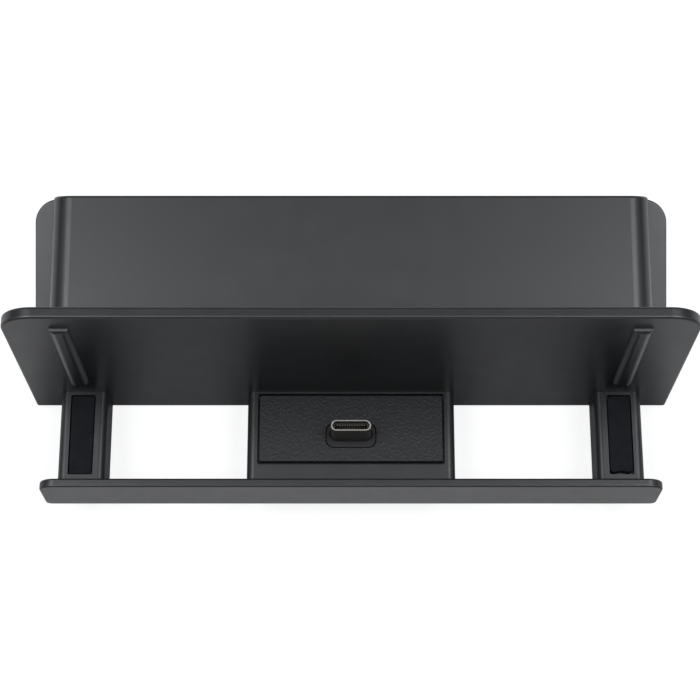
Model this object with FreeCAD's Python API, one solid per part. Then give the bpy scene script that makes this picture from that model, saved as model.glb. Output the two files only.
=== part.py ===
import FreeCAD
import Part
import math
import os

# Desk charging dock for a hand-held game console. A leaning back wall carries two side arms, a
# centre block with an upright plug and a front lip. A base plate and a wedge-shaped housing with
# the electronics stand behind the wall.
# Millimetres. X runs along the width, the front faces -Y and Z is up. The origin lies under the
# middle of the dock, on the surface that the rubber feet stand on.

# Overall size and stance
DOCK_WIDTH = 133.5
DOCK_HEIGHT = 49.34
LEAN_DEG = 20.0             # how far the back wall leans back
FOOT_PROUD = 0.8            # the feet stand this far below the base plate

# Back wall, measured along the lean
WALL_THICKNESS = 2.4
WALL_CORNER_R = 6.5
WALL_EDGE_R = 0.5

# Flat ribs up the front of the wall
RIB_INSET = 11.15           # from the wall's end to a rib's middle
RIB_WIDTH = 3.9
RIB_PROUD = 1.1
RIB_EDGE_R = 1.35
RIB_TOP_GAP = 5.15          # from a rib's top end to the wall's top edge
RIB_FOOT_GAP = 6.9          # from the cradle floor to a rib's lower end
RIB_END_R = 0.95            # round nose at a rib's top end
RIB_ROOT = 0.9              # how deep a rib's foot runs into the wall

# Cradle: two arms, the centre block and the lip, measured along the lean
CRADLE_DEPTH = 19.9         # from the wall's face to the lip
CRADLE_DROP = 8.8           # from the cradle floor down to the underside
CRADLE_SKIN = 1.6           # wall of the hollow arms and block
ARM_INSET = 11.3            # from the wall's end to an arm's middle
ARM_WIDTH = 9.7
ARM_EDGE_R = 1.45
BLOCK_WIDTH = 42.9
BLOCK_EDGE_R = 1.5
LIP_INSET = 3.2             # the lip is this much shorter than the wall at each end
LIP_THICKNESS = 1.8
LIP_RISE = 4.3              # above the cradle floor
LIP_CORNER_R = 3.2
LIP_FOOT_R = 1.4
LIP_EDGE_R = 0.4

# Rubber pads in the arms
PAD_SHIFT = 0.2             # a pad's middle lies this far outside its arm's middle
PAD_WIDTH = 4.7
PAD_LENGTH = 16.8
PAD_THICKNESS = 1.5
PAD_SETBACK = 0.85          # from the wall's face to a pad's rear end
PAD_SINK = 0.1              # the pads lie this far below the arms' tops
PAD_GAP = 0.2
PAD_FLOOR = 1.4             # plastic left under a pad
PAD_CORNER_R = 0.4
WORN_PAD_CORNER_R = 1.2     # the right pad has rounder corners
WORN_PAD_BOW = 0.6          # and a front end that has drawn back in the middle

# Inset panel in the centre block
PANEL_WIDTH = 38.0
PANEL_DEPTH = 14.35
PANEL_THICKNESS = 1.6
PANEL_SINK = 0.15
PANEL_SETBACK = 0.65        # from the wall's face to the panel's rear edge
PANEL_REAR_GAP = 0.25
PANEL_SIDE_GAP = 0.3
PANEL_FRONT_GAP = 0.75
PANEL_CORNER_R = 0.4
PANEL_EDGE_R = 0.25
LEDGE_OVERLAP = 0.9         # how far the ledge reaches under the panel
LEDGE_THICKNESS = 1.4
POST_SPACING = 30.0         # screw posts under the panel
POST_R = 2.2

# Plug: shell, insulator, contacts and the moulded collar round it
PLUG_SETBACK = 9.2          # from the wall's face to the plug's middle
PLUG_WIDTH = 8.25
PLUG_THICKNESS = 2.4
PLUG_REACH = 6.15           # above the cradle floor
PLUG_WALL = 0.38
PLUG_TIP_BEVEL = 0.12
MOUTH_WIDTH = 6.8
MOUTH_HEIGHT = 1.0
MOUTH_DEPTH = 4.9
INSULATOR_RECESS = 0.35     # below the shell's tip
CONTACT_COUNT = 12          # in each of two rows
CONTACT_PITCH = 0.5
CONTACT_WIDTH = 0.24
CONTACT_THICKNESS = 0.1
CONTACT_LENGTH = 4.2
COLLAR_SETBACK = 9.4
COLLAR_WIDTH = 10.15
COLLAR_DEPTH = 5.1
COLLAR_CORNER_R = 1.6
COLLAR_GAP = 0.18
FLANGE_MARGIN = 1.3         # the collar's flange under the panel stands out this far
FLANGE_THICKNESS = 1.0

# Plug board and its cable
PLUG_BOARD_WIDTH = 22.0
PLUG_BOARD_DEPTH = 9.0
BOARD_THICKNESS = 1.0
BOARD_CORNER_R = 0.8
RIBBON_WIDTH = 10.0
RIBBON_THICKNESS = 0.3
RIBBON_BEND_R = 6.0
RIBBON_LEAD = 0.3           # straight run behind the wall before the first bend
SLOT_MARGIN = 0.6           # room round the ribbon in the wall's slot
SOCKET_DEPTH = 3.5
SOCKET_HEIGHT = 1.3
SOCKET_CHEEK = 1.0          # socket beside the ribbon
SOCKET_ENTRY = 0.45         # from the board's face to the ribbon's middle
SOCKET_CLEAR = 0.05
SOCKET_GRIP = 2.0           # length of ribbon inside a socket
SOCKET_LEAD = 1.0           # straight run of ribbon before the main socket

# Cover under the centre block
COVER_THICKNESS = 1.6
COVER_GAP = 0.15
STOP_WIDTH = 1.2            # ribs that the cover bears against
STOP_INSET = 3.0

# Base plate
BASE_DEPTH = 43.7           # from the wall's front foot to the rear edge
BASE_THICKNESS = 2.0
BASE_CORNER_R = 4.9
BASE_EDGE_R = 0.35

# Rear housing
HOUSING_INSET = 4.75        # the base plate shows this wide beside the housing
HOUSING_REAR_HEIGHT = 9.2   # above the base plate, at the rear edge
HOUSING_SLOPE_DEG = 14.0
HOUSING_SKIN = 2.0
HOUSING_SHOULDER_R = 4.3
HOUSING_REAR_R = 0.6
BOSS_R = 3.0
BOSS_MERGE = 0.5            # how far a boss runs into the wall beside it
FRONT_BOSS_SETBACK = 7.5    # from the wall's rear face, at the base plate

# Lugs that hold the back wall on the base plate
LUG_INSET = 36.75           # from the wall's end to a lug's middle
LUG_WIDTH = 9.0
LUG_LENGTH = 9.0
LUG_HEIGHT = 5.0
LUG_EDGE_R = 1.0

# Main board and what is on it
BOARD_WIDTH = 48.0
BOARD_REAR_GAP = 0.3        # to the inside of the housing's rear wall
BOARD_LIFT = 1.2            # above the base plate
STANDOFF_R = 2.4
STANDOFF_INSET = 3.2        # from the board's edges
INLET_WIDTH = 8.94
INLET_HEIGHT = 3.26
INLET_LENGTH = 7.3
INLET_WALL = 0.3
INLET_SINK = 0.2            # below the rear face
INLET_GAP = 0.25
INLET_BACK = 1.4
TONGUE_WIDTH = 6.7
TONGUE_HEIGHT = 0.7
TONGUE_SINK = 0.6           # tongue's tip below the shell's mouth
INLET_RECESS_MARGIN = 1.5
INLET_RECESS_DEPTH = 0.6
CHIP_SIDE = 5.0
CHIP_HEIGHT = 0.9
CHIP_OFFSET = -10.0         # along X from the board's middle
COIL_SIDE = 4.2
COIL_HEIGHT = 2.0
COIL_OFFSET = 10.0
COIL_CORNER_R = 0.9
CAP_LENGTH = 2.0
CAP_WIDTH = 1.25
CAP_HEIGHT = 1.1
CAP_COUNT = 4
CAP_PITCH = 2.6

# Screws: the shank's pilot hole is wider by the thread clearance
SCREW_SHANK_R = 1.1
SCREW_HEAD_R = 2.2
SCREW_HEAD_HEIGHT = 1.0
SCREW_GAP = 0.2             # hole round a screw that only passes through
HEAD_GAP = 0.15
HEAD_SINK = 0.15            # heads lie this far below the face around them
THREAD_CLEARANCE = 0.05
TIP_CLEARANCE = 0.4
BASE_SCREW_BITE = 5.0       # length of thread in a boss
LUG_SCREW_BITE = 3.6
BLOCK_SCREW_BITE = 3.6
BOARD_SCREW_BITE = 2.0
DRIVE_WIDTH = 0.5
DRIVE_LENGTH = 2.2
DRIVE_DEPTH = 0.5

# Rubber feet
FOOT_R = 4.0
FOOT_SEAT = 0.4             # recess in the base plate
FOOT_GAP = 0.1
FOOT_BEVEL = 0.3
FOOT_INSET = 1.2            # from the plate's front and rear edges to a foot's rim
FOOT_SIDE_INSET = 20.75     # from the plate's end to a foot's middle

# Reach of cutting blocks beyond the faces that they cut
OVERCUT = 1.0

# Spacings of what stands in pairs
RIB_SPACING = DOCK_WIDTH - 2 * RIB_INSET
ARM_SPACING = DOCK_WIDTH - 2 * ARM_INSET
PAD_SPACING = ARM_SPACING + 2 * PAD_SHIFT
LIP_WIDTH = DOCK_WIDTH - 2 * LIP_INSET
HOUSING_WIDTH = DOCK_WIDTH - 2 * HOUSING_INSET
LUG_SPACING = DOCK_WIDTH - 2 * LUG_INSET
FOOT_SPACING = DOCK_WIDTH - 2 * FOOT_SIDE_INSET

# Where the wall's face meets the cradle floor, with the dock centred over the origin
SIN = math.sin(math.radians(LEAN_DEG))
COS = math.cos(math.radians(LEAN_DEG))
FOOT_BACKSET = CRADLE_DROP * SIN
FRONT_REACH = (CRADLE_DEPTH + LIP_THICKNESS) * COS + FOOT_BACKSET
REST_Y = (FRONT_REACH + FOOT_BACKSET - BASE_DEPTH) / 2
REST_Z = FOOT_PROUD + CRADLE_DROP * COS
REAR_Y = REST_Y - FOOT_BACKSET + BASE_DEPTH

# Along the lean from the cradle floor to the wall's top edge, which is round at its highest spot
WALL_RISE = (DOCK_HEIGHT - REST_Z - WALL_EDGE_R * (1 - SIN)) / COS + WALL_EDGE_R
RIB_TOP = WALL_RISE - RIB_TOP_GAP

# Levels of the base plate, the main board and the housing
BASE_TOP = FOOT_PROUD + BASE_THICKNESS
BOARD_BOTTOM = BASE_TOP + BOARD_LIFT
BOARD_TOP = BOARD_BOTTOM + BOARD_THICKNESS
HOUSING_SLOPE = math.tan(math.radians(HOUSING_SLOPE_DEG))
HOUSING_REAR_TOP = BASE_TOP + HOUSING_REAR_HEIGHT

# Levels inside the centre block, measured along the lean from the cradle floor
PANEL_BOTTOM = -PANEL_SINK - PANEL_THICKNESS
FLANGE_BOTTOM = PANEL_BOTTOM - FLANGE_THICKNESS
PLUG_BOARD_BOTTOM = FLANGE_BOTTOM - BOARD_THICKNESS
RIBBON_LEVEL = PLUG_BOARD_BOTTOM - SOCKET_ENTRY
LEDGE_BOTTOM = PANEL_BOTTOM - LEDGE_THICKNESS
COVER_TOP = COVER_THICKNESS - CRADLE_DROP

LEAN = FreeCAD.Placement(
    FreeCAD.Vector(0, REST_Y, REST_Z),
    FreeCAD.Rotation(FreeCAD.Vector(1, 0, 0), -LEAN_DEG),
)
UP = FreeCAD.Vector(0, 0, 1)
RIGHT = FreeCAD.Vector(1, 0, 0)
NEAR = 0.001                # two lengths closer than this are the same


def vec(x, y, z):
    return FreeCAD.Vector(x, y, z)


def block(x_span, y_span, z_span):
    """Box between the low and high ends of three spans."""
    size = [high - low for low, high in (x_span, y_span, z_span)]
    return Part.makeBox(*size, vec(x_span[0], y_span[0], z_span[0]))


def about(middle, width):
    """Span of a width about a middle."""
    return (middle - width / 2, middle + width / 2)


def rod(x, y, z_low, z_high, radius):
    """Upright cylinder."""
    return Part.makeCylinder(radius, z_high - z_low, vec(x, y, z_low))


def leaned(shape):
    """A shape drawn square to the wall, set at the wall's lean."""
    result = shape.copy()
    result.Placement = LEAN.multiply(result.Placement)
    return result


def corner_points(before, corner, after, radius):
    """Start, middle and end of the arc that rounds one corner of an outline."""
    to_before = (before - corner).normalize()
    to_after = (after - corner).normalize()
    half = to_before.getAngle(to_after) / 2
    setback = radius / math.tan(half)
    inward = (to_before + to_after).normalize()
    middle = corner + inward * (radius / math.sin(half) - radius)
    return corner + to_before * setback, middle, corner + to_after * setback


def rounded_face(corners):
    """Flat face inside an outline of (point, radius) corners, each rounded by its radius."""
    arcs = []
    for i, (corner, radius) in enumerate(corners):
        before = corners[i - 1][0]
        after = corners[(i + 1) % len(corners)][0]
        arcs.append(corner_points(before, corner, after, radius) if radius else (corner, None, corner))
    edges = []
    for i, (start, middle, end) in enumerate(arcs):
        if middle:
            edges.append(Part.Arc(start, middle, end).toShape())
        next_start = arcs[(i + 1) % len(arcs)][0]
        if end.distanceToPoint(next_start) > NEAR:
            edges.append(Part.makeLine(end, next_start))
    return Part.Face(Part.Wire(edges))


def rounded_slab(x_span, y_span, z_span, radius):
    """Flat slab with four round upright corners."""
    spots = [(x_span[0], y_span[0]), (x_span[1], y_span[0]), (x_span[1], y_span[1]), (x_span[0], y_span[1])]
    face = rounded_face([(vec(x, y, z_span[0]), radius) for x, y in spots])
    return face.extrude(UP * (z_span[1] - z_span[0]))


def round_top_plate(width, z_span, y_span, top_r, foot_r):
    """Upright plate whose two top and two foot corners are rounded."""
    half = width / 2
    front, rear = y_span
    low, high = z_span
    corners = [
        (vec(-half, front, low), foot_r),
        (vec(half, front, low), foot_r),
        (vec(half, front, high), top_r),
        (vec(-half, front, high), top_r),
    ]
    return rounded_face(corners).extrude(vec(0, rear - front, 0))


def stadium_rod(x, y, z_span, width, thickness):
    """Upright rod whose section is a slot with fully round ends."""
    return rounded_slab(about(x, width), about(y, thickness), z_span, thickness / 2 - NEAR)


def stadium_tunnel(z, y_span, width, height, x=0):
    """The same section lying along Y."""
    lying = stadium_rod(x, -z, (0, y_span[1] - y_span[0]), width, height)
    lying.rotate(vec(0, 0, 0), RIGHT, -90)
    lying.translate(vec(0, y_span[0], 0))
    return lying


def rim_edges(shape, axis, level):
    """Edges that lie in the plane where one coordinate has a level."""
    found = []
    for edge in shape.Edges:
        spots = [vertex.Point[axis] for vertex in edge.Vertexes]
        spots.append(edge.valueAt((edge.FirstParameter + edge.LastParameter) / 2)[axis])
        if all(abs(spot - level) < NEAR for spot in spots):
            found.append(edge)
    return found


def shared(edges, others):
    """Edges that are in both lists."""
    return [edge for edge in edges if any(edge.isSame(other) for other in others)]


def without(edges, others):
    """Edges of the first list that aren't in the second."""
    return [edge for edge in edges if not any(edge.isSame(other) for other in others)]


def long_top_edges(shape, level):
    """Straight edges at a level that run along Y."""
    return [
        edge
        for edge in rim_edges(shape, 2, level)
        if abs(edge.tangentAt(edge.FirstParameter).y) > 1 - NEAR
    ]


def screw(bite):
    """Flat-headed screw, head down, with its head's seat at the origin and its shank up."""
    head = Part.makeCylinder(SCREW_HEAD_R, SCREW_HEAD_HEIGHT, vec(0, 0, -SCREW_HEAD_HEIGHT))
    shank = Part.makeCylinder(SCREW_SHANK_R, bite)
    drive_span = (-SCREW_HEAD_HEIGHT - OVERCUT, DRIVE_DEPTH - SCREW_HEAD_HEIGHT)
    cross = block(about(0, DRIVE_LENGTH), about(0, DRIVE_WIDTH), drive_span)
    cross = cross.fuse(block(about(0, DRIVE_WIDTH), about(0, DRIVE_LENGTH), drive_span))
    return head.fuse(shank).cut(cross).removeSplitter()


def set_at(shape, point):
    result = shape.copy()
    result.translate(point)
    return result


def pilot(x, y, z_low, bite):
    """Blind hole for the shank of a screw."""
    return rod(x, y, z_low - OVERCUT, z_low + bite + TIP_CLEARANCE, SCREW_SHANK_R + THREAD_CLEARANCE)


def clearance_hole(x, y, z_low, z_seat, z_high):
    """Through hole for a screw, with a round pocket for its head below the seat."""
    passage = rod(x, y, z_low - OVERCUT, z_high + OVERCUT, SCREW_SHANK_R + SCREW_GAP)
    return passage.fuse(rod(x, y, z_low - OVERCUT, z_seat, SCREW_HEAD_R + HEAD_GAP))


def wall_rear_y(z):
    """Where the wall's rear face stands at a height."""
    along = (z - REST_Z + WALL_THICKNESS * SIN) / COS
    return REST_Y + WALL_THICKNESS * COS + along * SIN


def before_plane(depth):
    """Everything in front of a plane that lies a depth behind the wall's face."""
    far = DOCK_WIDTH
    return leaned(block((-far, far), (-far, depth), (-far, far)))


def both_sides(spacing):
    return (-spacing / 2, spacing / 2)


# Spots that several pieces share
HEAD_SEAT = HEAD_SINK + SCREW_HEAD_HEIGHT
BASE_SEAT = FOOT_PROUD + HEAD_SEAT
BLOCK_SEAT = -CRADLE_DROP + HEAD_SEAT
POST_Y = -PANEL_SETBACK - PANEL_DEPTH / 2
POSTS = [(x, POST_Y) for x in both_sides(POST_SPACING)]
LUG_FRONT = wall_rear_y(BASE_TOP)
LUG_SPOTS = [(x, LUG_FRONT + LUG_LENGTH / 2) for x in both_sides(LUG_SPACING)]
BOSS_SPACING = HOUSING_WIDTH - 2 * (HOUSING_SKIN + BOSS_R - BOSS_MERGE)
BOSS_YS = (LUG_FRONT + FRONT_BOSS_SETBACK, REAR_Y - HOUSING_SKIN - BOSS_R + BOSS_MERGE)
BOSS_SPOTS = [(x, y) for x in both_sides(BOSS_SPACING) for y in BOSS_YS]
FOOT_YS = {
    "front": wall_rear_y(FOOT_PROUD) + FOOT_INSET + FOOT_R,
    "rear": REAR_Y - FOOT_INSET - FOOT_R,
}
FOOT_XS = dict(zip(("left", "right"), both_sides(FOOT_SPACING)))
INLET_Z = BOARD_TOP + INLET_HEIGHT / 2
INLET_MOUTH = REAR_Y - INLET_SINK


def ribbon_bends():
    """Start, S-bend centres, S-bend angle and end of the ribbon behind the wall, in Y and Z."""
    start = LEAN.multVec(vec(0, WALL_THICKNESS + RIBBON_LEAD, RIBBON_LEVEL))
    end_z = BOARD_TOP + SOCKET_ENTRY
    rise = math.acos((start.z + RIBBON_BEND_R * (1 + COS) - end_z) / (2 * RIBBON_BEND_R))
    first = start + vec(0, SIN, COS) * RIBBON_BEND_R
    turn = vec(0, math.sin(rise), -math.cos(rise))
    second = first + turn * (2 * RIBBON_BEND_R)
    end = second + UP * RIBBON_BEND_R
    return start, first, second, math.degrees(rise), end


RIBBON_END_Y = ribbon_bends()[-1].y
MAIN_SOCKET_FRONT = RIBBON_END_Y + SOCKET_LEAD
BOARD_FRONT = RIBBON_END_Y
BOARD_REAR = REAR_Y - HOUSING_SKIN - BOARD_REAR_GAP
BOARD_MIDDLE = (BOARD_FRONT + BOARD_REAR) / 2
STANDOFFS = [
    (x, y)
    for x in both_sides(BOARD_WIDTH - 2 * STANDOFF_INSET)
    for y in (BOARD_FRONT + STANDOFF_INSET, BOARD_REAR - STANDOFF_INSET)
]


def wall():
    """Leaning plate with round top corners and softened rims. Its foot is trimmed later."""
    foot = -CRADLE_DROP - WALL_THICKNESS
    plate = round_top_plate(DOCK_WIDTH, (foot, WALL_RISE), (0, WALL_THICKNESS), WALL_CORNER_R, 0)
    rims = rim_edges(plate, 1, 0) + rim_edges(plate, 1, WALL_THICKNESS)
    return plate.makeFillet(WALL_EDGE_R, without(rims, rim_edges(plate, 2, foot)))


def rib(x):
    """Low half-round rib with a round nose across its top end, rooted in the wall."""
    low, high = about(x, RIB_WIDTH)
    fronts = [(vec(spot, -RIB_PROUD, RIB_FOOT_GAP), RIB_EDGE_R) for spot in (low, high)]
    roots = [(vec(spot, RIB_ROOT, RIB_FOOT_GAP), 0) for spot in (high, low)]
    bar = rounded_face(fronts + roots).extrude(UP * (RIB_TOP - RIB_FOOT_GAP))
    reach = block(about(x, RIB_WIDTH + 2 * OVERCUT), (-RIB_PROUD, RIB_ROOT), (0, RIB_TOP))
    nose = shared(rim_edges(reach, 1, -RIB_PROUD), rim_edges(reach, 2, RIB_TOP))
    return bar.common(reach.makeFillet(RIB_END_R, nose))


def cradle_bar(x, width, edge_r):
    """Solid bar from the wall to the lip with soft top edges."""
    bar = block(
        about(x, width),
        (-CRADLE_DEPTH - LIP_THICKNESS / 2, WALL_THICKNESS / 2),
        (-CRADLE_DROP, 0),
    )
    return bar.makeFillet(edge_r, long_top_edges(bar, 0))


def pad_span():
    return (-PAD_SETBACK - PAD_LENGTH, -PAD_SETBACK)


def pad_pocket(x):
    """Pocket that a grip pad lies in, with a thin gap all round."""
    width = PAD_WIDTH + 2 * PAD_GAP
    low, high = pad_span()
    depth = PAD_SINK + PAD_THICKNESS
    return rounded_slab(about(x, width), (low - PAD_GAP, high + PAD_GAP), (-depth, OVERCUT), PAD_CORNER_R)


def arm_hollow(x):
    """Space under an arm, open below."""
    width = ARM_WIDTH - 2 * CRADLE_SKIN
    roof = -PAD_SINK - PAD_THICKNESS - PAD_FLOOR
    return block(about(x, width), (-CRADLE_DEPTH, 0), (-CRADLE_DROP - OVERCUT, roof))


def panel_opening():
    """Stepped opening in the block: the panel's well, the ledge's mouth and the hollow below."""
    half = PANEL_WIDTH / 2
    low = -PANEL_SETBACK - PANEL_DEPTH
    high = -PANEL_SETBACK
    well = rounded_slab(
        about(0, PANEL_WIDTH + 2 * PANEL_SIDE_GAP),
        (low - PANEL_FRONT_GAP, high + PANEL_REAR_GAP),
        (PANEL_BOTTOM, OVERCUT),
        PANEL_CORNER_R,
    )
    mouth = block(
        (LEDGE_OVERLAP - half, half - LEDGE_OVERLAP),
        (low + LEDGE_OVERLAP, high - LEDGE_OVERLAP),
        (LEDGE_BOTTOM - OVERCUT, PANEL_BOTTOM + OVERCUT),
    )
    hollow = block(
        about(0, BLOCK_WIDTH - 2 * CRADLE_SKIN),
        (-CRADLE_DEPTH, 0),
        (-CRADLE_DROP - OVERCUT, LEDGE_BOTTOM),
    )
    return well.fuse([mouth, hollow])


def cover_stops():
    """Four short ribs inside the block that the cover bears against."""
    stops = []
    face = BLOCK_WIDTH / 2 - CRADLE_SKIN
    for side in (-1, 1):
        ends = sorted((side * (face + CRADLE_SKIN / 2), side * (face - STOP_WIDTH)))
        for y in (-STOP_INSET, STOP_INSET - CRADLE_DEPTH):
            stops.append(block(ends, about(y, STOP_WIDTH), (COVER_TOP, LEDGE_BOTTOM + NEAR)))
    return stops


def ribbon_slot():
    """Slot through the wall for the ribbon cable."""
    return block(
        about(0, RIBBON_WIDTH + 2 * SLOT_MARGIN),
        (-OVERCUT, WALL_THICKNESS + OVERCUT),
        about(RIBBON_LEVEL, RIBBON_THICKNESS + 2 * SLOT_MARGIN),
    )


def lip():
    """Front lip with round top corners and soft rims."""
    rear = -CRADLE_DEPTH
    front = rear - LIP_THICKNESS
    plate = round_top_plate(LIP_WIDTH, (-CRADLE_DROP, LIP_RISE), (front, rear), LIP_CORNER_R, LIP_FOOT_R)
    return plate.makeFillet(LIP_EDGE_R, rim_edges(plate, 1, front) + rim_edges(plate, 1, rear))


def lug(x, y):
    """Foot behind the wall that takes a screw through the base plate."""
    rear = LUG_FRONT + LUG_LENGTH
    top = BASE_TOP + LUG_HEIGHT
    body = block(about(x, LUG_WIDTH), (LUG_FRONT - WALL_THICKNESS, rear), (BASE_TOP, top))
    body = body.makeFillet(LUG_EDGE_R, shared(rim_edges(body, 1, rear), upright(body)))
    return body.cut([pilot(x, y, BASE_TOP, LUG_SCREW_BITE), before_plane(WALL_THICKNESS / 2)])


def upright(shape):
    """Straight edges that stand along Z."""
    return [edge for edge in shape.Edges if abs(edge.tangentAt(edge.FirstParameter).z) > 1 - NEAR]


def backrest_cradle():
    """One moulding: wall, ribs, arms, block and lip along the lean, with two lugs behind."""
    arms = [cradle_bar(x, ARM_WIDTH, ARM_EDGE_R) for x in both_sides(ARM_SPACING)]
    centre = cradle_bar(0, BLOCK_WIDTH, BLOCK_EDGE_R)
    ribs = [rib(x) for x in both_sides(RIB_SPACING)]
    body = wall().fuse([*ribs, *arms, centre, lip()])
    hollows = [arm_hollow(x) for x in both_sides(ARM_SPACING)]
    pockets = [pad_pocket(x) for x in both_sides(PAD_SPACING)]
    body = body.cut([*hollows, *pockets, panel_opening(), ribbon_slot()])
    body = leaned(body.fuse(cover_stops()).removeSplitter())
    body = body.fuse([lug(x, y) for x, y in LUG_SPOTS])
    below = block((-DOCK_WIDTH, DOCK_WIDTH), (-DOCK_WIDTH, DOCK_WIDTH), (-DOCK_WIDTH, FOOT_PROUD))
    return body.cut(below).removeSplitter()


def grip_pad(x, corner_r, bow):
    """Flat rubber pad. A bow draws the middle of its front end back."""
    low, high = pad_span()
    levels = (-PAD_SINK - PAD_THICKNESS, -PAD_SINK)
    pad = rounded_slab(about(x, PAD_WIDTH), (low, high), levels, corner_r)
    if bow:
        half = PAD_WIDTH / 2
        radius = (half * half + bow * bow) / (2 * bow)
        pad = pad.cut(rod(x, low + bow - radius, levels[0] - OVERCUT, levels[1] + OVERCUT, radius))
    return leaned(pad)


def connector_panel():
    """Inset panel with a cut-out for the collar and two screw posts below."""
    low = -PANEL_SETBACK - PANEL_DEPTH
    plate = rounded_slab(
        about(0, PANEL_WIDTH), (low, -PANEL_SETBACK), (PANEL_BOTTOM, -PANEL_SINK), PANEL_CORNER_R
    )
    plate = plate.makeFillet(PANEL_EDGE_R, rim_edges(plate, 2, -PANEL_SINK))
    window = rounded_slab(
        about(0, COLLAR_WIDTH + 2 * COLLAR_GAP),
        about(-COLLAR_SETBACK, COLLAR_DEPTH + 2 * COLLAR_GAP),
        (PANEL_BOTTOM - OVERCUT, OVERCUT),
        COLLAR_CORNER_R + COLLAR_GAP,
    )
    posts = [rod(x, y, COVER_TOP, PANEL_BOTTOM, POST_R) for x, y in POSTS]
    pilots = [pilot(x, y, COVER_TOP, BLOCK_SCREW_BITE) for x, y in POSTS]
    return leaned(plate.fuse(posts).cut([window, *pilots]).removeSplitter())


def plug_rod(width, thickness, levels):
    return stadium_rod(0, -PLUG_SETBACK, levels, width, thickness)


def plug_shell():
    """Drawn metal shell, open at its tip."""
    outer = plug_rod(PLUG_WIDTH, PLUG_THICKNESS, (FLANGE_BOTTOM, PLUG_REACH))
    inner_size = (PLUG_WIDTH - 2 * PLUG_WALL, PLUG_THICKNESS - 2 * PLUG_WALL)
    inner = plug_rod(*inner_size, (FLANGE_BOTTOM - OVERCUT, PLUG_REACH + OVERCUT))
    tube = outer.cut(inner)
    return leaned(tube.makeChamfer(PLUG_TIP_BEVEL, rim_edges(tube, 2, PLUG_REACH)))


def plug_insulator():
    """Plastic core that fills the shell, with the mouth for the console's tongue."""
    tip = PLUG_REACH - INSULATOR_RECESS
    inner_size = (PLUG_WIDTH - 2 * PLUG_WALL, PLUG_THICKNESS - 2 * PLUG_WALL)
    core = plug_rod(*inner_size, (FLANGE_BOTTOM, tip))
    mouth = block(
        about(0, MOUTH_WIDTH), about(-PLUG_SETBACK, MOUTH_HEIGHT), (tip - MOUTH_DEPTH, tip + OVERCUT)
    )
    return leaned(core.cut(mouth))


def plug_contacts():
    """Two rows of contact blades on the long sides of the mouth."""
    tip = PLUG_REACH - INSULATOR_RECESS
    floor = tip - MOUTH_DEPTH
    blades = []
    for side in (-1, 1):
        y = -PLUG_SETBACK + side * (MOUTH_HEIGHT - CONTACT_THICKNESS) / 2
        for i in range(CONTACT_COUNT):
            x = (i - (CONTACT_COUNT - 1) / 2) * CONTACT_PITCH
            levels = (floor, floor + CONTACT_LENGTH)
            blades.append(block(about(x, CONTACT_WIDTH), about(y, CONTACT_THICKNESS), levels))
    return leaned(Part.makeCompound(blades))


def plug_overmould():
    """Collar that fills the panel's cut-out, on a flange that bears on the panel from below."""
    collar = rounded_slab(
        about(0, COLLAR_WIDTH),
        about(-COLLAR_SETBACK, COLLAR_DEPTH),
        (FLANGE_BOTTOM, -PANEL_SINK),
        COLLAR_CORNER_R,
    )
    flange = rounded_slab(
        about(0, COLLAR_WIDTH + 2 * FLANGE_MARGIN),
        about(-COLLAR_SETBACK, COLLAR_DEPTH + 2 * FLANGE_MARGIN),
        (FLANGE_BOTTOM, PANEL_BOTTOM),
        COLLAR_CORNER_R,
    )
    hole = plug_rod(PLUG_WIDTH, PLUG_THICKNESS, (FLANGE_BOTTOM - OVERCUT, OVERCUT))
    return leaned(collar.fuse(flange).cut(hole).removeSplitter())


def plug_board_span():
    return about(-COLLAR_SETBACK, PLUG_BOARD_DEPTH)


def plug_board():
    """Small board that the plug is soldered to."""
    levels = (PLUG_BOARD_BOTTOM, FLANGE_BOTTOM)
    return leaned(rounded_slab(about(0, PLUG_BOARD_WIDTH), plug_board_span(), levels, BOARD_CORNER_R))


def cable_socket():
    """Flat cable socket on a board at Z = 0 whose mouth faces -Y at Y = 0."""
    body = block(about(0, RIBBON_WIDTH + 2 * SOCKET_CHEEK), (0, SOCKET_DEPTH), (0, SOCKET_HEIGHT))
    mouth = block(
        about(0, RIBBON_WIDTH + 2 * SOCKET_CLEAR),
        (-OVERCUT, SOCKET_GRIP + SOCKET_CLEAR),
        about(SOCKET_ENTRY, RIBBON_THICKNESS + 2 * SOCKET_CLEAR),
    )
    return body.cut(mouth)


def cable_socket_plug():
    """Socket under the plug board, with its mouth towards the wall."""
    socket = cable_socket()
    socket.rotate(vec(0, 0, 0), RIGHT, 180)
    return leaned(set_at(socket, vec(0, plug_board_span()[1], PLUG_BOARD_BOTTOM)))


def cable_socket_main():
    """Socket on the main board, with its mouth towards the wall."""
    return set_at(cable_socket(), vec(0, MAIN_SOCKET_FRONT, BOARD_TOP))


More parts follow.
